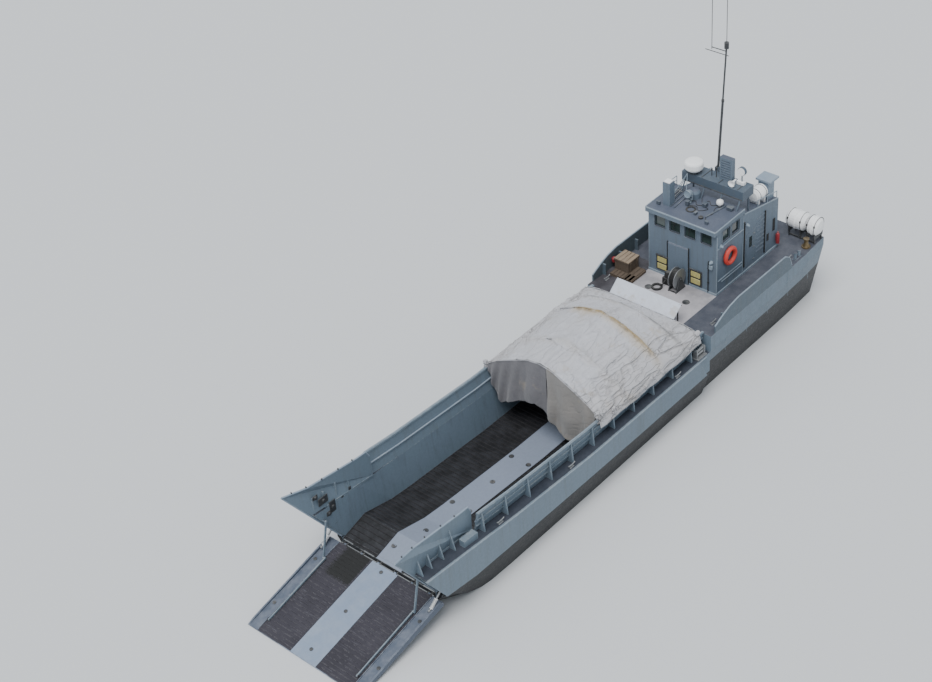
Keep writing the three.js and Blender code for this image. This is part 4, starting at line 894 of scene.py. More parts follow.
def drop_cloth(sheet, carrier, frames, slack):
    """Runs the cloth modifier and keeps only its result."""
    carrier.modifiers.new("bumper", "COLLISION").settings.thickness_outer = 0.012
    carrier.collision.cloth_friction = 18.0
    cloth = sheet.modifiers.new("cloth", "CLOTH")
    cloth.settings.quality = 7
    cloth.settings.mass = 0.5
    cloth.settings.air_damping = 2.0
    cloth.settings.tension_stiffness = 35.0
    cloth.settings.compression_stiffness = 30.0
    cloth.settings.shear_stiffness = 12.0
    cloth.settings.bending_stiffness = 3.0
    cloth.settings.vertex_group_mass = "held"
    cloth.settings.shrink_min = -slack
    cloth.collision_settings.collision_quality = 3
    cloth.collision_settings.distance_min = 0.010
    cloth.point_cache.frame_start = 1
    cloth.point_cache.frame_end = frames
    stage = bpy.context.scene
    for frame_number in range(1, frames + 1):
        stage.frame_set(frame_number)
    seen = sheet.evaluated_get(bpy.context.evaluated_depsgraph_get())
    result = bpy.data.meshes.new_from_object(seen)
    sheet.modifiers.clear()
    stage.frame_set(1)
    return result


def make_cover():
    sheet = new_sheet("canopy_sheet", cover_rows())
    data = sheet.data
    count = COVER_STEPS[1]
    start = [vert.co.copy() for vert in data.vertices]
    held = sheet.vertex_groups.new(name="held")
    for vert in data.vertices:
        row, column = divmod(vert.index, count)
        weight = max(hem_weight(column), END_HOLD if row in (0, COVER_STEPS[0] - 1) else 0.0)
        if weight > 0:
            held.add([vert.index], weight, "REPLACE")
    hoops = bpy.data.objects.new("hoops_bumper", bpy.data.objects["canopy_frame"].data.copy())
    bpy.context.collection.objects.link(hoops)
    fallen = drop_cloth(sheet, hoops, DROP_FRAMES, 0.016)
    deepest = 0.0
    for vert, rest in zip(fallen.vertices, start):
        moved = vert.co - rest
        deepest = max(deepest, moved.length)
        vert.co = rest + moved * min(1.0, DEEPEST_SAG / max(moved.length, 1e-6))
    sheet.data = fallen
    sheet.vertex_groups.clear()
    bpy.data.objects.remove(hoops)
    print("cloth moved at most", round(deepest, 3), "m")
    return sheet


cover = make_cover()

# %% Creases the photograph shows, worked into the fallen sheet
# Each crease: start and end in x and y, height (below 0 it is a trough), half width
CREASES = [
    (2.25, 0.25, 1.55, 0.70, -0.075, 0.13),
    (2.15, 0.45, 1.50, 0.95, 0.050, 0.12),
    (2.05, 1.19, 1.05, 1.42, -0.065, 0.12),
    (1.95, 1.40, 1.00, 1.60, 0.045, 0.11),
    (-0.45, 0.85, 0.55, 1.45, 0.075, 0.11),
    (0.26, 2.15, -0.25, 2.60, -0.055, 0.10),
    (-0.95, 2.20, -1.40, 2.68, -0.060, 0.10),
    (-1.38, 2.55, -1.15, 2.85, -0.060, 0.09),
    (1.45, 1.40, 1.55, 1.95, 0.050, 0.12),
    (2.83, -0.90, 1.50, -1.18, 0.050, 0.14),
    (2.90, -1.60, 1.75, -1.95, 0.045, 0.12),
    (1.00, -1.65, 1.00, -2.45, -0.060, 0.10),
    (0.10, -1.55, -0.10, -2.40, 0.050, 0.11),
    (2.00, 2.80, 0.95, 2.40, 0.060, 0.12),
    (1.40, 2.80, 0.60, 2.20, -0.055, 0.10),
    (1.13, 2.86, 0.25, 2.50, 0.065, 0.11),
    (0.55, 2.86, -0.20, 2.45, -0.050, 0.10),
    (0.23, 2.84, -0.60, 2.55, 0.060, 0.10),
    (2.15, 2.70, 1.90, 2.25, -0.070, 0.12),
    (2.75, 2.60, 2.30, 1.90, 0.050, 0.13),
    (-0.70, -1.30, -0.60, 2.55, 0.028, 0.07),
    (-2.30, -2.00, -2.00, 2.45, 0.024, 0.06),
    (-1.25, -0.90, -1.55, 0.50, 0.030, 0.14),
    (0.75, -0.70, -0.10, 0.05, -0.030, 0.14),
    (2.95, 2.78, 2.20, 1.55, 0.075, 0.13),
    (2.98, 2.55, 2.55, 1.35, -0.060, 0.10),
    (3.00, 2.30, 2.60, 0.55, 0.040, 0.12),
    (2.60, 2.86, 1.70, 1.95, 0.080, 0.13),
    (2.20, 2.84, 1.35, 2.05, -0.060, 0.11),
    (1.75, 2.84, 0.95, 2.05, 0.075, 0.12),
    (0.80, 2.84, 0.35, 2.00, 0.075, 0.11),
    (-0.05, 2.84, -0.65, 2.05, 0.070, 0.11),
    (-0.55, 2.84, -1.05, 2.30, -0.055, 0.10),
    (-1.05, 2.84, -1.75, 2.10, 0.070, 0.12),
    (-1.85, 2.84, -2.45, 2.25, 0.065, 0.11),
    (-2.65, 2.80, -2.20, 2.05, 0.060, 0.11),
    (2.70, -2.80, 2.05, -2.10, 0.060, 0.12),
    (1.30, -2.80, 0.80, -2.15, 0.060, 0.12),
    (-0.60, -2.80, -1.30, -2.10, 0.060, 0.12),
]


def crease_height(x, y):
    total = 0.0
    for x0, y0, x1, y1, high, half in CREASES:
        run = (x1 - x0, y1 - y0)
        share = ((x - x0) * run[0] + (y - y0) * run[1]) / (run[0] ** 2 + run[1] ** 2)
        share = min(max(share, 0.0), 1.0)
        bend = 0.12 * math.sin(3.0 * share + x0)
        away = math.hypot(x - x0 - run[0] * share, y - y0 - run[1] * share + bend * (1 - share) * share)
        taper = math.sin(math.pi * (0.08 + 0.84 * share))
        total += high * taper * max(0.0, 1.0 - away / half) ** 1.5
    return total


print("creases:", len(CREASES))


# %% Keeping the cloth over its hoops
def above_arch(x, y, z):
    """Signed distance of a point from the arch at x, and the arch's outward direction there."""
    best = (1e9, 0.0, Vector((0.0, 0.0, 1.0)))
    line = cover_arch(x)
    for (ya, za), (yb, zb) in zip(line, line[1:]):
        run = (yb - ya, zb - za)
        share = ((y - ya) * run[0] + (z - za) * run[1]) / (run[0] ** 2 + run[1] ** 2)
        share = min(max(share, 0.0), 1.0)
        away = (y - ya - run[0] * share, z - za - run[1] * share)
        far = math.hypot(*away)
        if far < abs(best[0]):
            out = Vector((0.0, run[1], -run[0])).normalized()
            best = (math.copysign(far, out.y * away[0] + out.z * away[1]), far, out)
    return best[0], best[2]


CLEAR_OF_HOOPS = -0.026


def keep_over_hoops(sheet):
    """Lifts what lies over a hoop or the ridge back out to the steel's outer face."""
    lifted = 0
    for vert in sheet.data.vertices:
        near = min(abs(vert.co.x - hoop) for hoop in HOOPS)
        if near > 0.075 and abs(vert.co.y) > 0.09:
            continue
        height, out = above_arch(*vert.co)
        if height < CLEAR_OF_HOOPS:
            vert.co += out * (CLEAR_OF_HOOPS - height)
            lifted += 1
    sheet.data.update()
    print("lifted over the hoops:", lifted)


# %% Ruffle the sheet, but keep its foot clear of the coamings
COAMING_REACH = 4.34
LOW_LIFT = -0.012


def ruffle_cover(sheet):
    """Moves each point of the sheet along its normal by the folds, the creases and a scalloped hem."""
    sheet.data.update()
    normals = [vert.normal.copy() for vert in sheet.data.vertices]
    count = COVER_STEPS[1]
    for vert, facing in zip(sheet.data.vertices, normals):
        if facing.z < 0 and abs(facing.y) < 0.5:
            facing = -facing
        column = vert.index % count
        loose = 1.0 - hem_weight(column)
        x, y, z = vert.co
        lift = folds_by_hand(x, y, z) + crease_height(x, y)
        hem = min(column, count - 1 - column)
        scallop = 0.03 * math.sin(x * 4.2 + 0.8 * math.sin(x * 1.7)) * max(0.0, 1.0 - hem / 9.0)
        outward = 1.0 if facing.dot(Vector((0, y, 3.0))) > 0 else -1.0
        vert.co += facing * outward * loose * (max(lift, LOW_LIFT) if z < COAMING_REACH else lift)
        if vert.co.z < COAMING_REACH:
            height, out = above_arch(*vert.co)
            vert.co += out * max(0.0, LOW_LIFT - height)
        vert.co.z += scallop
    sheet.data.update()


ruffle_cover(cover)
keep_over_hoops(cover)


# %% Thickness and finish of the cover
def finish_sheet(sheet, material, thick, body="hull"):
    """Gives a sheet its thickness, finish and body."""
    skin = sheet.modifiers.new("thickness", "SOLIDIFY")
    skin.thickness = thick
    skin.offset = 0.0
    sheet.data.materials.clear()
    sheet.data.materials.append(material)
    sheet.data.polygons.foreach_set("use_smooth", [True] * len(sheet.data.polygons))
    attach(sheet, body)


finish_sheet(cover, canvas, 0.006)
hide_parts("canopy_cover")

# %% [markdown]
# ## Curtains, aft sheet and lashings
# Two curtains hang from the first hoop. They are softer than the cover, so they fall in pleats that are
# narrow at the top and open towards the hem. A grid between the arch and a hem line of a few points
# gives them that, with the pleats growing as the cloth goes down. The smooth sheet behind the cover is
# laced flat to its rail. Straps pull the cover's hem down to a low rail over the side deck.

# %% Curtains between the arch and their hems
# Each outline: the top's two ends in y, then the hem in y and z
CURTAIN_X = 3.168
PORT_CURTAIN = (0.33, 2.62, [(0.43, 2.95), (0.85, 2.37), (2.20, 2.35), (2.25, 2.90), (2.42, 3.25),
                             (2.56, 3.88)])
STARBOARD_CURTAIN = (0.31, -2.62, [(0.29, 3.00), (-0.23, 3.39), (-1.46, 2.90), (-2.05, 2.50), (-2.38, 3.10),
                                   (-2.56, 3.88)])


def arch_height(y, inset):
    line = sorted(cover_arch(CURTAIN_X, inset))
    for (ya, za), (yb, zb) in zip(line, line[1:]):
        if ya <= y <= yb:
            return za + (zb - za) * (y - ya) / (yb - ya)
    return line[0][1]


def curtain_rows(start, end, hem, pleats, depth, phase, columns=90, steps=56):
    hem_points, _ = along_arch(hem, columns)
    rows = []
    for step in range(steps):
        down = step / (steps - 1)
        row = []
        for column, (hem_y, hem_z) in enumerate(hem_points):
            share = column / (columns - 1)
            top_y = start + (end - start) * share
            top_z = arch_height(top_y, 0.035)
            y = top_y + (hem_y - top_y) * down
            z = top_z + (hem_z - top_z) * down
            swing = math.sin(2 * math.pi * pleats * (share + 0.06 * math.sin(5.0 * share + phase)) + phase)
            slack = noise.noise(Vector((y * 1.6, z * 0.9, phase)))
            x = CURTAIN_X + depth * (0.12 + 0.88 * down) * (swing * 0.55 + slack) + 0.05 * down
            row.append((max(x, CURTAIN_X - 0.012), y, z + 0.02 * slack * down))
        rows.append(row)
    return rows


def make_curtain(side, outline, pleats, depth, phase, material):
    sheet = new_sheet("curtain_" + side + "_cloth", curtain_rows(*outline, pleats, depth, phase))
    finish_sheet(sheet, material, 0.005)
    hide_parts("canopy_curtain_" + side)


canvas_beige = canvas_material("canvas_beige", rgb(0.265, 0.255, 0.250), rgb(0.19, 0.165, 0.135),
                               flank=(-1.0, 3.0), slack=(0.05, 0.03))
# Painted shade: the starboard curtain is a darker grey copy of the canvas, standing in for the shade it hangs
# in.
canvas_painted_shade = canvas_material("canvas_painted_shade", rgb(0.150, 0.147, 0.163), rgb(0.12, 0.113, 0.118),
                              flank=(-1.0, 6.0), slack=(0.05, 0.0))
make_curtain("port", PORT_CURTAIN, 3.0, 0.16, 0.6, canvas_beige)
make_curtain("starboard", STARBOARD_CURTAIN, 4.5, 0.13, 2.1, canvas_painted_shade)

# %% The smooth sheet aft of the cover
AFT_FRONT = (-3.155, 4.252)
AFT_BACK = (-3.695, 4.680)
AFT_HALF = 1.575


def aft_sheet_rows():
    (x0, z0), (x1, z1) = AFT_FRONT, AFT_BACK
    rows = []
    for step in range(26):
        down = step / 25
        row = []
        for column in range(72):
            y = AFT_HALF - 2 * AFT_HALF * column / 71
            sag = 0.018 * math.sin(math.pi * down) * (0.6 + 0.4 * math.cos(y * 3.1))
            curl = 0.014 * noise.noise(Vector((down * 3.0, y * 2.2, 7.0)))
            row.append((x0 + (x1 - x0) * down, y, z0 + (z1 - z0) * down - sag + curl))
        rows.append(row)
    return rows


aft_sheet = new_sheet("aft_sheet_cloth", aft_sheet_rows())
finish_sheet(aft_sheet, canvas_pale, 0.005)
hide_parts("canopy_aft_panel")
print("aft sheet laced to its rail")

# %% Straps, and the rope in the front and aft hems
# DECK_LINE: x and height of the side deck, from the bow aft
DECK_LINE = [(13.1, 3.651), (11.905, 3.556), (10.7, 3.46), (9.3, 3.33), (8.3, 3.24), (4.0, 3.02), (-3.6, 3.0)]
STRAP_PLACES = [2.58, 1.39, 0.24, -0.92, -2.02]
straps = bmesh.new()
for side in (1, -1):
    for x in STRAP_PLACES:
        rail = (x, side * 2.665, between(DECK_LINE, x) + 0.31)
        for lean in (-0.05, 0.04):
            beam(straps, (x + lean, side * 2.885, 3.70), rail, 0.026, 0.006, up=(0, side, 0.1))
place("cover_straps", straps, canvas_pale)

hem_rope = bmesh.new()
for x in (COVER_FRONT + 0.004, COVER_BACK - 0.004):
    line, _ = along_arch(cover_arch(x, 0.02), 60)
    rod(hem_rope, [(x, y, z) for y, z in line], 0.017, 6)
place("cover_hem_rope", hem_rope, canvas)
print("straps:", 2 * len(STRAP_PLACES))


# %% Gathered corners
def gathered(name, centre, size, turns, lean):
    """A bunch of cloth drawn together and tied: pleats round a leaning middle."""
    mesh = bmesh.new()
    rings = []
    for step in range(15):
        up = step / 14
        waist = 0.35 + 0.65 * abs(math.cos(math.pi * up * 1.15)) ** 0.8
        ring = []
        for turn in range(48):
            angle = 2 * math.pi * turn / 48
            pleat = 1.0 + 0.20 * math.sin(turns * angle + 3.0 * up) + 0.10 * math.sin(3 * angle + 9 * up)
            swell = 0.25 + 0.75 * math.sin(math.pi * min(max(up, 0.04), 0.96)) ** 0.5
            radius = size * waist * pleat * swell
            ring.append(Vector(centre) + Vector((
                radius * math.cos(angle) + lean[0] * up, radius * math.sin(angle) * 0.8 + lean[1] * up,
                size * 2.6 * (up - 0.5))))
        rings.append(ring)
    skin_rings(mesh, rings)
    place(name, mesh, canvas)


gathered("corner_bunch_port", (3.06, 2.70, 4.04), 0.21, 7, (0.08, 0.06))
gathered("flank_bunch_port", (2.36, 2.86, 3.99), 0.13, 6, (0.05, 0.03))
gathered("corner_bunch_starboard", (3.12, -2.70, 4.10), 0.13, 6, (0.05, -0.05))
gathered("corner_bunch_aft_port", (-3.02, 2.70, 4.02), 0.15, 8, (-0.10, 0.05))
print("corners gathered")

# %% [markdown]
# ## The well floor and its walls
# Both tracks of the well carry the same cross bars as the ramp, so wheels grip in the wet. The middle
# strip is smooth, with sunk lashing pots. The bars follow the floor, which rises to a hump just inside
# the hinge. Along the walls run a ledge, a row of lashing rings and a pipe.

# %% Bars and lashing pots on the floor
# FLOOR_LINE: x and height of the well floor, from the hinge aft
FLOOR_LINE = [(11.905, 1.80), (10.7, 2.15), (9.3, 1.82), (8.3, 1.74), (4.0, 1.55), (-3.6, 1.55)]
BAR_PITCH = 0.205
TRACK = (0.64, 2.24)
BAR_STATIONS = [11.88, 10.7, 9.3, 8.3, 4.0, -3.5]
POTS = [(8.0, -0.42), (8.0, 0.42), (6.2, 0.0), (4.6, -0.42), (4.6, 0.42), (9.9, 0.0), (11.2, -0.35),
        (11.2, 0.35)]
POT = [(0.0, 0.004), (0.055, 0.004), (0.060, 0.016), (0.105, 0.016), (0.110, 0.0)]
bar_paint = painted("bar_paint", rgb(0.014, 0.013, 0.015), worn=rgb(0.085, 0.08, 0.085),
                    dirt=rgb(0.03, 0.03, 0.03), dusty=rgb(0.10, 0.10, 0.11), rough=0.85, wear=0.35, dust=0.1)

for word, side in SIDES.items():
    bars = bmesh.new()
    x = 11.80
    while x > -3.45:
        z = between(FLOOR_LINE, x) + 0.010
        beam(bars, (x, side * TRACK[0], z), (x, side * TRACK[1], z), 0.036, 0.024)
        x -= BAR_PITCH
    for pair in zip(BAR_STATIONS, BAR_STATIONS[1:]):
        for y in (TRACK[0] - 0.02, TRACK[1] + 0.015):
            beam(bars, *[(x, side * y, between(FLOOR_LINE, x) + 0.008) for x in pair], 0.030, 0.026)
    place("well_bars_" + word, bars, bar_paint)

pots = bmesh.new()
for x, y in POTS:
    z = between(FLOOR_LINE, x)
    turned(pots, POT, (x, y, z), count=20)
    rod(pots, [(x - 0.05, y, z + 0.014), (x + 0.05, y, z + 0.014)], 0.012)
place("lashing_pots", pots, dark_steel)
print("floor dressed")

# %% Ledges, rings and a pipe on the well's walls
WALL_STATIONS = [9.93, 9.3, 8.3, 4.0, -3.45]
LEDGE_UP = 0.45
LEDGE_Y = 2.49 + 0.185 * LEDGE_UP / 0.92 - 0.024  # the coaming leans outboard as it rises
LINING_Y = 2.478
PIPE_Y = 2.452
RING_PITCH = 1.18

for word, side in SIDES.items():
    ledge, gear = bmesh.new(), bmesh.new()
    for pair in zip(WALL_STATIONS, WALL_STATIONS[1:]):
        beam(ledge, *[(x, side * LEDGE_Y, between(DECK_LINE, x) + LEDGE_UP) for x in pair], 0.05, 0.045)
        rod(gear, [(x, side * PIPE_Y, between(FLOOR_LINE, x) + 1.05) for x in pair], 0.022)
    x = 9.4
    while x > 3.3:
        z = between(FLOOR_LINE, x) + 0.62
        block(gear, (x - 0.05, side * LINING_Y - 0.014, z - 0.05),
              (x + 0.05, side * LINING_Y + 0.014, z + 0.05))
        hoop(gear, (x, side * PIPE_Y, z - 0.045), 0.055, 0.010, "xz", 14, start=-math.pi / 2)
        x -= RING_PITCH
    place("well_ledge_" + word, ledge, ramp_paint)
    place("well_rings_" + word, gear, dark_steel)
print("walls dressed")

# %% [markdown]
# ## Horns and ramp gear
# Each horn is a plate with a half-round rail along its top, which takes the knocks and shows pale where
# the paint has gone. On the inner face sit the bracket that holds the ramp stay and the latch that locks
# the ramp when it is up. The ramp itself carries lashing eyes down its middle, and a spring on each ram.

# %% Rails and brackets on the horns
HORN_TOP_LINE = [(14.0, 5.07), (12.94, 4.88), (10.57, 4.61), (10.12, 4.59)]
STUD = [(0.0, 0.0), (0.028, 0.0), (0.022, 0.03), (0.032, 0.045), (0.02, 0.065), (0.0, 0.065)]
BOSS = [(0.0, 0.0), (0.07, 0.0), (0.07, 0.05), (0.03, 0.065), (0.0, 0.065)]
# Brackets by x, z, length and height; clips by x and z
HORN_BRACKETS = [(12.45, 4.02, 0.46, 0.34), (12.08, 3.48, 0.30, 0.52), (12.76, 4.34, 0.24, 0.18),
                 (12.30, 3.30, 0.22, 0.20)]
HORN_CLIPS = [(12.05, 2.55), (11.70, 2.30), (11.55, 3.45), (11.15, 3.60)]


def on_horn(x, z, side, out, up=0.0):
    """A point beside the horn's plate, which leans outboard with height and flares to its tip."""
    plate = 2.292 + 0.045 * (z - 1.8) + (0.230 / 1.4) * max(0.0, x - 12.6)
    return x, side * (plate + out), z + up


for word, side in SIDES.items():
    rail, gear = bmesh.new(), bmesh.new()
    top = [on_horn(x, z, side, 0.025, 0.012) for x, z in HORN_TOP_LINE]
    rod(rail, top + [on_horn(9.99, 4.33, side, 0.025, 0.015)], 0.036, 10)
    edge = [(11.84 + 0.6636 * (z - 1.8), z) for z in (5.07, 4.2, 3.2, 2.5, 1.9)]
    rod(rail, [on_horn(x, z, side, 0.025) for x, z in edge], 0.028)
    for x in (13.6, 13.0, 12.3, 11.5, 10.8):
        turned(gear, STUD, on_horn(x, between(HORN_TOP_LINE, x), side, 0.025, 0.04), count=12)
    for x, z, wide, high in HORN_BRACKETS:
        face = on_horn(x, z, side, -0.030)
        far = (x + wide / 2, face[1] + side * 0.03, z + high / 2)
        block(gear, (x - wide / 2, face[1], z - high / 2), far, 0.012)
        turned(gear, BOSS, face, (0, -side, 0), 16)
    for x, z in HORN_CLIPS:
        y = on_horn(x, z, side, -0.006)[1]
        block(gear, (x - 0.06, y, z - 0.13), (x + 0.06, y + side * 0.02, z + 0.13), 0.02)
    place("horn_rail_" + word, rail, ramp_paint)
    place("horn_gear_" + word, gear, dark_steel)
print("horns dressed")

# %% Eyes on the ramp and bars over the hinge
RAMP_DROP = math.radians(12.6)
HINGE = Vector((12.0, 0.0, 1.7))
EYE_FOOT = [(0.0, 0.0), (0.075, 0.0), (0.07, 0.022), (0.03, 0.030), (0.0, 0.030)]
# Eyes by distance from the hinge and y
RAMP_EYES = [(0.28, 0.0), (4.02, 0.0), (2.2, 0.0), (1.1, 2.56), (1.1, -2.56), (3.3, 2.56), (3.3, -2.56)]
ACROSS = Vector((0.0, 1.0, 0.0))

ramp_out = Vector((math.cos(RAMP_DROP), 0.0, -math.sin(RAMP_DROP)))
ramp_up = Vector((math.sin(RAMP_DROP), 0.0, math.cos(RAMP_DROP)))
eyes = bmesh.new()
for far, y in RAMP_EYES:
    foot = HINGE + ACROSS * y + ramp_out * far + ramp_up * (0.112 if y == 0.0 else 0.080)
    turned(eyes, EYE_FOOT, foot, ramp_up, 16)
    turns = [math.pi * step / 10 for step in range(11)]
    arc = [foot + ACROSS * (0.045 * math.cos(t)) + ramp_up * (0.05 * math.sin(t)) for t in turns]
    rod(eyes, arc, 0.011, 6)
place("ramp_eyes", eyes, dark_steel, "ramp")

hinge_bars = bmesh.new()
for y0, y1 in ((-2.2, -1.75), (-1.2, -0.7), (0.75, 1.25), (1.7, 2.2)):
    beam(hinge_bars, (11.915, y0, 1.812), (11.915, y1, 1.812), 0.045, 0.020)
place("hinge_bars", hinge_bars, bright_steel)
print("eyes:", len(RAMP_EYES))

# %% Springs on the rams
RAM_EYE = Vector((12.64, 0.0, 1.721))
RAM_TAIL = Vector((11.86, 0.0, 2.348))
RAM_Y = 2.64
COIL_TURNS = 9
COIL_STEPS = 14
SPRING_SEAT = [(0.037, -0.012), (0.072, -0.012), (0.072, 0.012), (0.037, 0.012)]

run = RAM_TAIL - RAM_EYE
upward = run.normalized().cross(ACROSS)
for word, side in SIDES.items():
    spring = bmesh.new()
    eye = RAM_EYE + ACROSS * (side * RAM_Y)
    points = []
    for step in range(COIL_TURNS * COIL_STEPS + 1):
        angle = 2 * math.pi * step / COIL_STEPS
        far = 0.12 + 0.34 * step / (COIL_TURNS * COIL_STEPS)
        points.append(eye + run * far + (ACROSS * math.cos(angle) + upward * math.sin(angle)) * 0.056)
    rod(spring, points, 0.011, 6)
    for far in (0.11, 0.47):
        turned(spring, SPRING_SEAT, eye + run * far, run.normalized(), 20)
    place("ram_spring_" + word, spring, white_shell, "ram_" + word)
print("ramp gear on")

# %% [markdown]
# ## Fittings on the wheelhouse
# Up close, a steel house is all fittings: rubber round each pane, wipers, drip edges, a pale kick strip
# where boots and deck paint meet, lamps, pipes and clips. They catch light and break up the flat walls.
# Each is placed from the wall it stands on, so it stays seated whichever side it is seen from.

# %% More paints for small things
yellow_paint = painted("yellow_paint", rgb(0.52, 0.46, 0.17), worn=rgb(0.35, 0.30, 0.15),
                       rough=0.5, wear=0.5, bump=0.004)
red_paint = painted("red_paint", rgb(0.30, 0.022, 0.030), worn=rgb(0.45, 0.18, 0.15),
                    rough=0.45, wear=0.4, bump=0.004)
rubber = painted("rubber", rgb(0.012, 0.012, 0.013), worn=rgb(0.05, 0.05, 0.05),
                 rough=0.8, wear=0.3, bump=0.004)
trim_paint = painted("trim_paint", rgb(0.225, 0.285, 0.345), worn=rgb(0.40, 0.45, 0.48),
                     wear=0.6, runs=0.3, bump=0.006)
roof_steel = painted("roof_steel", rgb(0.075, 0.095, 0.125), worn=rgb(0.22, 0.25, 0.28),
                     wear=0.5, bump=0.006)
print("small paints ready")

# %% Frames and seals round the panes, and two wipers
HOUSE_FRONT = -5.95
HOUSE_SIDE = 1.65
PANE_HALF = 0.25
FRONT_PANES = [-1.10, -0.37, 0.37, 1.15]
SIDE_PANES = [-6.60, -7.25]


def rounded_loop(half_a, half_b, corner=0.05, steps=4):
    """Points round a rectangle with round corners, about its middle."""
    points = []
    for quarter, (a, b) in enumerate(((1, 1), (-1, 1), (-1, -1), (1, -1))):
        for step in range(steps + 1):
            turn = math.pi / 2 * (quarter + step / steps)
            points.append((a * (half_a - corner) + corner * math.cos(turn),
                           b * (half_b - corner) + corner * math.sin(turn)))
    return points


frames, seals = bmesh.new(), bmesh.new()
for mesh, grow, radius in ((frames, 0.030, 0.020), (seals, 0.004, 0.012)):
    for y in FRONT_PANES:
        loop = rounded_loop(PANE_HALF + grow, 0.28 + grow)
        rod(mesh, [(HOUSE_FRONT + 0.004, y + a, 6.36 + b) for a, b in loop], radius, 6, closed=True)
    loop = rounded_loop(PANE_HALF + grow, PANE_HALF + grow)
    for side in (1, -1):
        for x in SIDE_PANES:
            y = side * (HOUSE_SIDE + 0.004)
            rod(mesh, [(x + a, y, 6.39 + b) for a, b in loop], radius, 6, closed=True)
place("pane_frames", frames, house_paint)
place("pane_seals", seals, rubber)

wipers = bmesh.new()
for y in FRONT_PANES[1:3]:
    pivot = [(0.0, 0.0), (0.035, 0.0), (0.03, 0.05), (0.0, 0.05)]
    turned(wipers, pivot, (HOUSE_FRONT, y + 0.12, 6.70), (1, 0, 0), 12)
    arm = [(HOUSE_FRONT + 0.04, y + 0.12, 6.70), (HOUSE_FRONT + 0.045, y - 0.03, 6.36)]
    beam(wipers, *arm, 0.018, 0.012, up=(1, 0, 0))
    blade = [(HOUSE_FRONT + 0.032, y - 0.05, 6.17), (HOUSE_FRONT + 0.032, y - 0.01, 6.54)]
    beam(wipers, *blade, 0.012, 0.024, up=(1, 0, 0))
place("wipers", wipers, rubber)
print("panes framed")

# %% Yellow panels, foot strip and ledges on the house
AFT_DECK = 3.78

panel_frames, panels = bmesh.new(), bmesh.new()
for y, z in ((-0.98, 4.35), (0.68, 4.29)):
    block(panel_frames, (HOUSE_FRONT, y - 0.30, z - 0.37), (HOUSE_FRONT + 0.030, y + 0.30, z + 0.37), 0.012)
    x = HOUSE_FRONT + 0.05
    beam(panel_frames, (x, y - 0.29, z + 0.36), (x, y + 0.29, z + 0.36), 0.05, 0.05)
    for middle in (z - 0.165, z + 0.165):
        low = (HOUSE_FRONT + 0.028, y - 0.225, middle - 0.125)
        block(panels, low, (HOUSE_FRONT + 0.062, y + 0.225, middle + 0.125), 0.014)
place("yellow_panel_frames", panel_frames, dark_steel)
place("yellow_panels", panels, yellow_paint)

trim = bmesh.new()
foot = AFT_DECK + 0.045
loop = [(-10.35, 1.668), (-5.935, 1.668), (-5.935, -1.668), (-10.35, -1.668)]
for (xa, ya), (xb, yb) in zip(loop, loop[1:]):
    beam(trim, (xa, ya, foot), (xb, yb, foot), 0.036, 0.09)
for side in (1, -1):
    for z, ahead, behind in ((5.98, -5.95, -7.78), (4.42, -6.05, -7.75), (4.28, -6.30, -7.75)):
        beam(trim, (ahead, side * 1.664, z), (behind, side * 1.664, z), 0.030, 0.030)
    for x, top in ((-5.965, 6.6), (-7.79, 6.6), (-9.42, 6.0)):
        beam(trim, (x, side * 1.660, AFT_DECK + 0.05), (x, side * 1.660, top), 0.026, 0.03, up=(0, 1, 0))
for y in (-1.69, 1.69):
    beam(trim, (-5.78, y, 6.905), (-7.82, y, 6.945), 0.03, 0.05)
beam(trim, (-5.775, -1.69, 6.90), (-5.775, 1.69, 6.90), 0.05, 0.04)
place("house_trim", trim, trim_paint)
print("house trimmed")

# %% Pipes and lamps on the house
LAMP = [(0.0, 0.0), (0.085, 0.0), (0.085, 0.03), (0.065, 0.05), (0.060, 0.10), (0.035, 0.135), (0.0, 0.145)]

pipes = bmesh.new()
foot = AFT_DECK + 0.06
rod(pipes, [(-5.915, 1.28, foot), (-5.915, 1.28, 5.25), (-5.935, 1.28, 5.33)], 0.022)
rod(pipes, [(-5.915, -0.72, foot), (-5.915, -0.72, 5.50), (-5.935, -0.72, 5.56)], 0.018)
rod(pipes, [(-5.90, 0.335, foot), (-5.90, 0.335, 5.60)], 0.022)
for side in (1, -1):
    for x, low, high in ((-7.86, 4.1, 6.30), (-9.36, 4.0, 6.05)):
        rod(pipes, [(x, side * 1.68, low), (x, side * 1.68, high)], 0.030)
for z in (4.3, 5.0):
    block(pipes, (-5.95, 1.24, z - 0.02), (-5.90, 1.32, z + 0.02), 0.004)
place("house_pipes", pipes, rubber)

lamps = bmesh.new()
for x in (-6.20, -8.05):
    for side in (1, -1):
        turned(lamps, LAMP, (x, side * 1.655, 6.05), (0, side, 0), 18)
turned(lamps, LAMP, (HOUSE_FRONT, 1.42, 5.32), (1, 0, 0), 18)
block(lamps, (-5.95, 1.33, 5.00), (-5.86, 1.50, 5.20), 0.015)
place("bulkhead_lamps", lamps, trim_paint)
print("pipes and lamps on")

# %% Panes and clips on the side doors, and vents aft of them
CLIP = [(0.0, 0.0), (0.022, 0.0), (0.022, 0.016), (0.0, 0.016)]

for word, side in SIDES.items():
    pane, clips = bmesh.new(), bmesh.new()
    block(pane, (-8.44, side * 1.668 - 0.004, 4.85), (-8.24, side * 1.668 + 0.004, 5.35), 0.03)
    for z in (4.15, 4.75, 5.40):
        turned(clips, CLIP, (-8.60, side * 1.664, z), (0, side, 0), 10)
        lever = [(-8.60, side * 1.676, z), (-8.48, side * 1.676, z + 0.03)]
        beam(clips, *lever, 0.022, 0.010, up=(0, side, 0))
    place("door_pane_" + word, pane, window_glass, "door_" + word)
    place("door_clips_" + word, clips, bright_steel, "door_" + word)

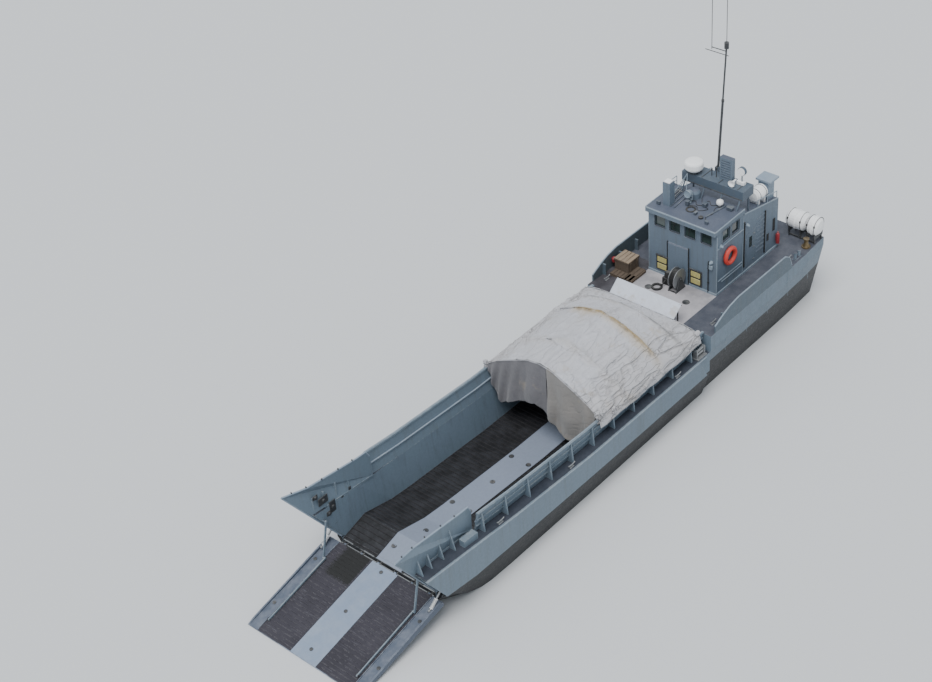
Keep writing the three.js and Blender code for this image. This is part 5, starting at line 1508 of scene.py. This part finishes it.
vents = bmesh.new()
for side in (1, -1):
    for x, z, wide, high in ((-10.05, 5.0, 0.16, 0.60), (-9.62, 4.6, 0.14, 0.34)):
        far = (x + wide / 2, side * 1.668, z + high / 2)
        block(vents, (x - wide / 2, side * 1.652, z - high / 2), far)
place("side_vents", vents, rubber)
print("doors and vents done")

# %% [markdown]
# ## The cluttered roof
# The wheelhouse roof is a work deck for aerials. There is a rail round its sides, a searchlight under
# its cover, a small dome on a stalk, cable trays, spare poles lashed flat and boxes with their
# cables. The pieces differ, so each comes from its own few lines, with cables as loose curves between.

# %% Rail, boxes and trays on the wheelhouse roof
# ROOF_BOXES: x, y, length, width and height
ROOF = 6.932
ROOF_BOXES = [
    (-6.10, 1.05, 0.10, 0.14, 0.12), (-6.42, 0.30, 0.16, 0.10, 0.10), (-7.10, 0.28, 0.20, 0.16, 0.16),
    (-6.78, -0.35, 0.14, 0.14, 0.20), (-7.45, 1.25, 0.18, 0.24, 0.14), (-6.20, -1.35, 0.10, 0.16, 0.14),
]
roof_rail = bmesh.new()
for x in (-6.95, -7.40, -7.80):
    rod(roof_rail, [(x, -1.60, ROOF), (x, -1.60, ROOF + 0.42)], 0.016)
rod(roof_rail, [(-6.90, -1.60, ROOF), (-6.95, -1.60, ROOF + 0.42), (-7.80, -1.60, ROOF + 0.42)], 0.018)
rod(roof_rail, [(-6.95, -1.60, ROOF + 0.22), (-7.80, -1.60, ROOF + 0.22)], 0.014)
rod(roof_rail, [(-7.15, -1.30, ROOF), (-7.62, -0.95, ROOF + 0.85), (-7.68, -1.35, ROOF + 0.02)], 0.016)
rod(roof_rail, [(-7.62, -0.95, ROOF + 0.85), (-7.20, -0.72, ROOF)], 0.016)
place("roof_rail", roof_rail, trim_paint)

roof_boxes = bmesh.new()
for x, y, deep, wide, high in ROOF_BOXES:
    standing(roof_boxes, x, y, ROOF, deep, wide, high, 0.012)
    standing(roof_boxes, x, y, ROOF + high, deep * 1.2, wide * 1.2, 0.02)
tray = ROOF + 0.02
for y in (-1.00, -0.83, -0.66):
    beam(roof_boxes, (-6.30, y, tray), (-7.65, y - 0.10, tray), 0.035, 0.03)
beam(roof_boxes, (-6.45, 0.75, tray), (-7.60, 0.95, tray), 0.06, 0.035)
place("roof_boxes", roof_boxes, roof_steel)
print("boxes:", len(ROOF_BOXES))

# %% Searchlight and small dome
SWIVEL = [(0.0, 0.0), (0.11, 0.0), (0.11, 0.04), (0.05, 0.06), (0.05, 0.20), (0.0, 0.20)]
DRUM = [(0.0, -0.15), (0.10, -0.14), (0.155, -0.06), (0.160, 0.12), (0.150, 0.13), (0.145, 0.10), (0.0, 0.09)]
DOME = [(0.0, 0.0), (0.13, 0.0), (0.15, 0.03), (0.15, 0.09), (0.13, 0.15), (0.08, 0.19), (0.0, 0.205)]

searchlight = bmesh.new()
turned(searchlight, SWIVEL, (-6.98, -0.42, ROOF))
for y in (-0.58, -0.26):
    beam(searchlight, (-6.98, y, ROOF + 0.18), (-6.98, y, ROOF + 0.44), 0.05, 0.016)
beam(searchlight, (-6.98, -0.59, ROOF + 0.19), (-6.98, -0.25, ROOF + 0.19), 0.05, 0.03)
turned(searchlight, DRUM, (-6.98, -0.42, ROOF + 0.42), (1, 0, 0.15))
place("searchlight", searchlight, trim_paint)

small_dome = bmesh.new()
rod(small_dome, [(-7.45, 0.75, ROOF), (-7.45, 0.75, ROOF + 0.12)], 0.05, 12)
turned(small_dome, DOME, (-7.45, 0.75, ROOF + 0.11), count=28)
place("small_dome", small_dome, white_shell)
print("light and dome up")

# %% Cables and spare poles, lying on the roof
# Each run of cable: x, y and height above the cable's bed
CABLE_BED = ROOF + 0.014
CABLE_RUNS = [
    [(-7.10, 0.20, 0), (-7.0, -0.05, 0), (-7.2, -0.25, 0), (-7.05, -0.42, 0.01), (-6.98, -0.36, 0.03)],
    [(-7.45, 0.66, 0), (-7.3, 0.45, 0), (-7.5, 0.2, 0), (-7.25, 0.05, 0), (-7.55, -0.2, 0), (-7.70, -0.6, 0)],
    [(-6.78, -0.28, 0), (-6.9, 0.0, 0), (-6.7, 0.25, 0), (-6.95, 0.5, 0), (-7.05, 0.36, 0)],
    [(-6.10, 0.98, 0), (-6.5, 0.75, 0), (-6.8, 0.85, 0), (-7.2, 0.70, 0), (-7.42, 0.82, 0)],
]


def cable(mesh, points):
    """A round cable on a smooth curve through its points."""
    smooth = []
    for i in range(len(points) - 1):
        near = [points[max(i - 1, 0)], points[i], points[i + 1], points[min(i + 2, len(points) - 1)]]
        for step in range(6):
            t = step / 6
            smooth.append([0.5 * (2 * b + (c - a) * t + (2 * a - 5 * b + 4 * c - d) * t * t
                           + (3 * b - a - 3 * c + d) * t ** 3) for a, b, c, d in zip(*near)])
    rod(mesh, smooth + [points[-1]], 0.013, 6)


cables = bmesh.new()
for points in CABLE_RUNS:
    cable(cables, [(x, y, CABLE_BED + up) for x, y, up in points])
for turn in range(3):
    hoop(cables, (-6.60, -0.05, CABLE_BED), 0.15 + 0.028 * turn, 0.013, "xy", 28)
turned(cables, [(0.0, 0.0), (0.10, 0.0), (0.10, 0.06), (0.0, 0.07)], (-6.32, 0.62, ROOF))
place("roof_cables", cables, rubber)

poles = bmesh.new()
for i, y in enumerate((-1.32, -1.22, -1.12)):
    rod(poles, [(-6.72, y + 0.02 * i, ROOF + 0.05), (-7.62, y - 0.05, ROOF + 0.05)], 0.022)
for x in (-6.85, -7.45):
    standing(poles, x, -1.22, ROOF, 0.06, 0.36, 0.035, 0.004)
place("spare_poles", poles, bright_steel)
print("roof dressed")

# %% On the arch: horn, white boxes, round lamp, bars and stalks
HORN = [(0.0, -0.10), (0.035, -0.10), (0.04, 0.05), (0.07, 0.16), (0.14, 0.27), (0.145, 0.28), (0.12, 0.27),
        (0.0, 0.10)]
LAMP_RIM = [(0.135, 0.0), (0.165, 0.0), (0.165, 0.025), (0.135, 0.025)]
LAMP_FACE = [(0.0, 0.012), (0.10, 0.010), (0.125, 0.0), (0.0, 0.0)]
COLLAR = [(0.172, 0.0), (0.20, 0.0), (0.20, 0.03), (0.172, 0.03)]
STALK_CAP = [(0.0, 0.0), (0.035, 0.0), (0.035, 0.09), (0.0, 0.10)]

arch_gear = bmesh.new()
turned(arch_gear, HORN, (-8.05, 1.02, 7.92), (1, 0.1, 0), 20)
beam(arch_gear, (-8.05, 1.02, 7.74), (-8.05, 1.02, 7.90), 0.04, 0.04, up=(1, 0, 0))
block(arch_gear, (-8.32, 1.05, 7.742), (-8.12, 1.40, 7.90), 0.015)
turned(arch_gear, LAMP_RIM, (-8.14, 1.27, 8.37), (1, 0, 0))
turned(arch_gear, LAMP_FACE, (-8.139, 1.27, 8.37), (1, 0, 0))
block(arch_gear, (-6.59, -1.17, 7.972), (-6.31, -0.89, 8.02), 0.01)
place("arch_gear", arch_gear, white_shell)

clutter = bmesh.new()
turned(clutter, COLLAR, (-7.90, -0.83, 7.743), count=28)
for y in (-1.0, -0.35, 0.45, 1.35):
    rod(clutter, [(-7.75, y, 7.755), (-8.42, y, 7.755)], 0.014, 6)
rod(clutter, [(-7.722, -1.2, 7.36), (-7.722, 1.6, 7.36)], 0.02, 6)
for y, z in ((-0.62, 8.05), (-0.10, 7.98), (0.12, 8.12)):
    rod(clutter, [(-8.1, y, 7.742), (-8.1, y, z)], 0.018)
    turned(clutter, STALK_CAP, (-8.1, y, z), count=12)
place("arch_clutter", clutter, dark_steel)
print("arch dressed")


# %% Rails on the deckhouse roof
def deckhouse_roof(x, up=0.0):
    """Height of the sloping roof at x, and a little above it."""
    return 6.65 + (6.65 - 6.12) * (x + 7.80) / (10.35 - 7.80) + up


rails = bmesh.new()
for side in (1, -1):
    posts = [-8.9, -9.6, -10.28]
    for x in posts:
        rod(rails, [(x, side * 1.60, deckhouse_roof(x)), (x, side * 1.60, deckhouse_roof(x, 0.34))], 0.016)
    rod(rails, [(x, side * 1.60, deckhouse_roof(x, 0.34)) for x in posts], 0.018)
for side in (1, -1):
    beam(rails, *[(x, side * 1.64, deckhouse_roof(x, 0.012)) for x in (-7.86, -10.33)], 0.04, 0.04)
place("deckhouse_rails", rails, trim_paint)
print("roof rails on")

# %% [markdown]
# ## Rafts, deck gear and bulwarks
# The raft canisters are held by webbing, and the bands bite a little into the shell. On deck lie
# manhole covers, cleats, a wound hose on its reel, planked timber and an extinguisher. The bulwarks
# have a rolled top edge that shines pale where hands and ropes rub it.

# %% Bands on the rafts
bands = bmesh.new()
for y, parts in ((1.90, (-0.30, 0.30)), (2.705, (-0.17, 0.17))):
    for part in parts:
        hoop(bands, (-11.57, y + part, 4.52), 0.404, 0.012, "xz", 40)
        block(bands, (-11.22, y + part - 0.03, 4.63), (-11.17, y + part + 0.03, 4.72))
for x in (-9.58, -9.18):
    hoop(bands, (x, 1.27, deckhouse_roof(-9.38, 0.41)), 0.294, 0.011, "yz", 36)
place("raft_bands", bands, rubber)
print("rafts banded")

# %% Manholes and cleats
LID = [(0.0, 0.010), (0.12, 0.010), (0.125, 0.018), (0.155, 0.018), (0.16, 0.0)]
BOLT = [(0.0, 0.0), (0.010, 0.0), (0.009, 0.008), (0.0, 0.010)]
CLEAT_ARMS = [(-0.19, 0.135), (-0.10, 0.105), (0.10, 0.105), (0.19, 0.135)]

manholes = bmesh.new()
for x, y in ((-4.90, 0.93), (-4.90, -0.93), (-10.8, -1.6), (-10.8, 0.4)):
    turned(manholes, LID, (x, y, AFT_DECK + 0.001), count=28)
    for turn in even_turns(12):
        bolt = (x + 0.14 * math.cos(turn), y + 0.14 * math.sin(turn), AFT_DECK + 0.018)
        turned(manholes, BOLT, bolt, count=6)
place("manholes", manholes, dark_steel)

cleats = bmesh.new()
spots = [(x, y, AFT_DECK) for x in (-4.35, -9.75) for y in (2.62, -2.62)]
spots += [(x, y, between(DECK_LINE, x)) for x in (-1.6, 5.0, 9.0) for y in (2.90, -2.90)]
for x, y, z in spots:
    standing(cleats, x, y, z, 0.24, 0.09, 0.018, 0.004)
    for dx in (-0.05, 0.05):
        rod(cleats, [(x + dx, y, z + 0.01), (x + dx, y, z + 0.10)], 0.018)
    rod(cleats, [(x + dx, y, z + up) for dx, up in CLEAT_ARMS], 0.020)
place("cleats", cleats, bright_steel)
print("cleats:", len(spots))

# %% The hose on its reel, pump gear and red gear
POT_LID = [(0.0, 0.0), (0.13, 0.0), (0.13, 0.22), (0.10, 0.26), (0.0, 0.27)]
BOTTLE = [(0.0, 0.0), (0.075, 0.0), (0.08, 0.02), (0.08, 0.42), (0.06, 0.48), (0.025, 0.51), (0.025, 0.56),
          (0.0, 0.56)]
BUCKET = [(0.0, 0.0), (0.09, 0.0), (0.10, 0.05), (0.10, 0.16), (0.05, 0.22), (0.0, 0.23)]

hose = bmesh.new()
for layer, radius in ((0, 0.30), (1, 0.345)):
    for turn in range(5):
        hoop(hose, (-5.45, -0.05 + 0.045 * turn + 0.02 * layer, 4.33), radius, 0.021, "xz", 48)
place("reel_hose", hose, rubber, "reel")

pump = bmesh.new()
block(pump, (-5.86, -0.62, AFT_DECK), (-5.40, -0.24, AFT_DECK + 0.32), 0.02)
turned(pump, POT_LID, (-5.55, -0.43, AFT_DECK + 0.32), count=20)
suction = [(-5.30, -0.75, 0.02), (-5.20, -0.45, 0.12), (-5.40, -0.43, 0.25)]
rod(pump, [(x, y, AFT_DECK + up) for x, y, up in suction], 0.03)
for turn in range(4):
    z = AFT_DECK + 0.025 + 0.042 * (turn // 2)
    hoop(pump, (-5.05, -0.62, z), 0.17 + 0.045 * (turn % 2), 0.021, "xy", 24)
place("pump_gear", pump, rubber)

extinguisher = bmesh.new()
turned(extinguisher, BOTTLE, (-10.22, 1.765, AFT_DECK + 0.25), count=20)
block(extinguisher, (-10.26, 1.68, AFT_DECK + 0.36), (-10.18, 1.70, AFT_DECK + 0.66), 0.004)
turned(extinguisher, BUCKET, (-5.20, -2.90, AFT_DECK + 0.30), count=18)
place("extinguisher", extinguisher, red_paint)
print("deck gear placed")

# %% Planks on the crate and pallet
# Each row: count, first y, step, width, aft x, fore x, height above the deck, thickness, ease
PLANK_ROWS = [
    (6, -2.70, 0.184, 0.150, -5.03, -4.64, 0.112, 0.023, 0.006),
    (2, -2.03, 0.200, 0.170, -5.66, -4.64, 0.112, 0.023, 0.006),
    (4, -2.765, 0.190, 0.172, -5.775, -5.025, 0.612, 0.022, 0.008),
]

planks = bmesh.new()
for count, first, step, wide, aft, fore, up, thick, ease in PLANK_ROWS:
    for i in range(count):
        y, z = first + step * i, AFT_DECK + up
        block(planks, (aft, y, z), (fore, y + wide, z + thick), ease)
for x in (-5.62, -5.18):
    for y0, y1, foot in ((-2.79, -2.752, 0.02), (-2.048, -2.012, 0.13)):
        block(planks, (x - 0.035, y0, AFT_DECK + foot), (x + 0.035, y1, AFT_DECK + 0.54), 0.004)
place("crate_planks", planks, crate_wood)
print("planks laid")

# %% Rails along bulwarks and coamings
BULWARK_TOP = [(-3.90, 4.08), (-4.45, 4.33), (-4.90, 4.48), (-5.50, 4.58), (-8.85, 4.58), (-9.15, 4.38),
               (-9.35, 3.90)]
COAMING_STATIONS = [9.93, 9.3, 8.3, 4.0, -3.5]
DECK_EDGE_STATIONS = [13.0, 11.905, 10.7, 9.3, 8.3, 4.0, -3.28]

for word, side in SIDES.items():
    caps = bmesh.new()
    rod(caps, [(x, side * 3.02, z + 0.010) for x, z in BULWARK_TOP], 0.030)
    rod(caps, [(x, side * 2.70, between(DECK_LINE, x) + 0.945) for x in COAMING_STATIONS], 0.022)
    rod(caps, [(x, side * 3.075, between(DECK_LINE, x) + 0.004) for x in DECK_EDGE_STATIONS], 0.020)
    place("cap_rails_" + word, caps, trim_paint)
print("rails on")

# %% Weld seams along the hull
BELT_FACE = 3.0965
STERN_FACE = 3.049
SEAM_PITCH = 1.55

for word, side in SIDES.items():
    x = 12.2
    lines = []
    while x > -3.2:
        lines.append([(x, side * BELT_FACE, 2.36), (x, side * BELT_FACE, between(DECK_LINE, x) - 0.03)])
        x -= SEAM_PITCH
    lines += [[(x, side * STERN_FACE, z) for z in (2.52, 3.74)] for x in (-4.6, -6.1, -7.6, -9.1, -10.6)]
    seams = bmesh.new()
    for line in lines:
        beam(seams, *line, 0.016, 0.006, up=(0, side, 0))
    place("weld_seams_" + word, seams, topside_paint)
print("hull trimmed")
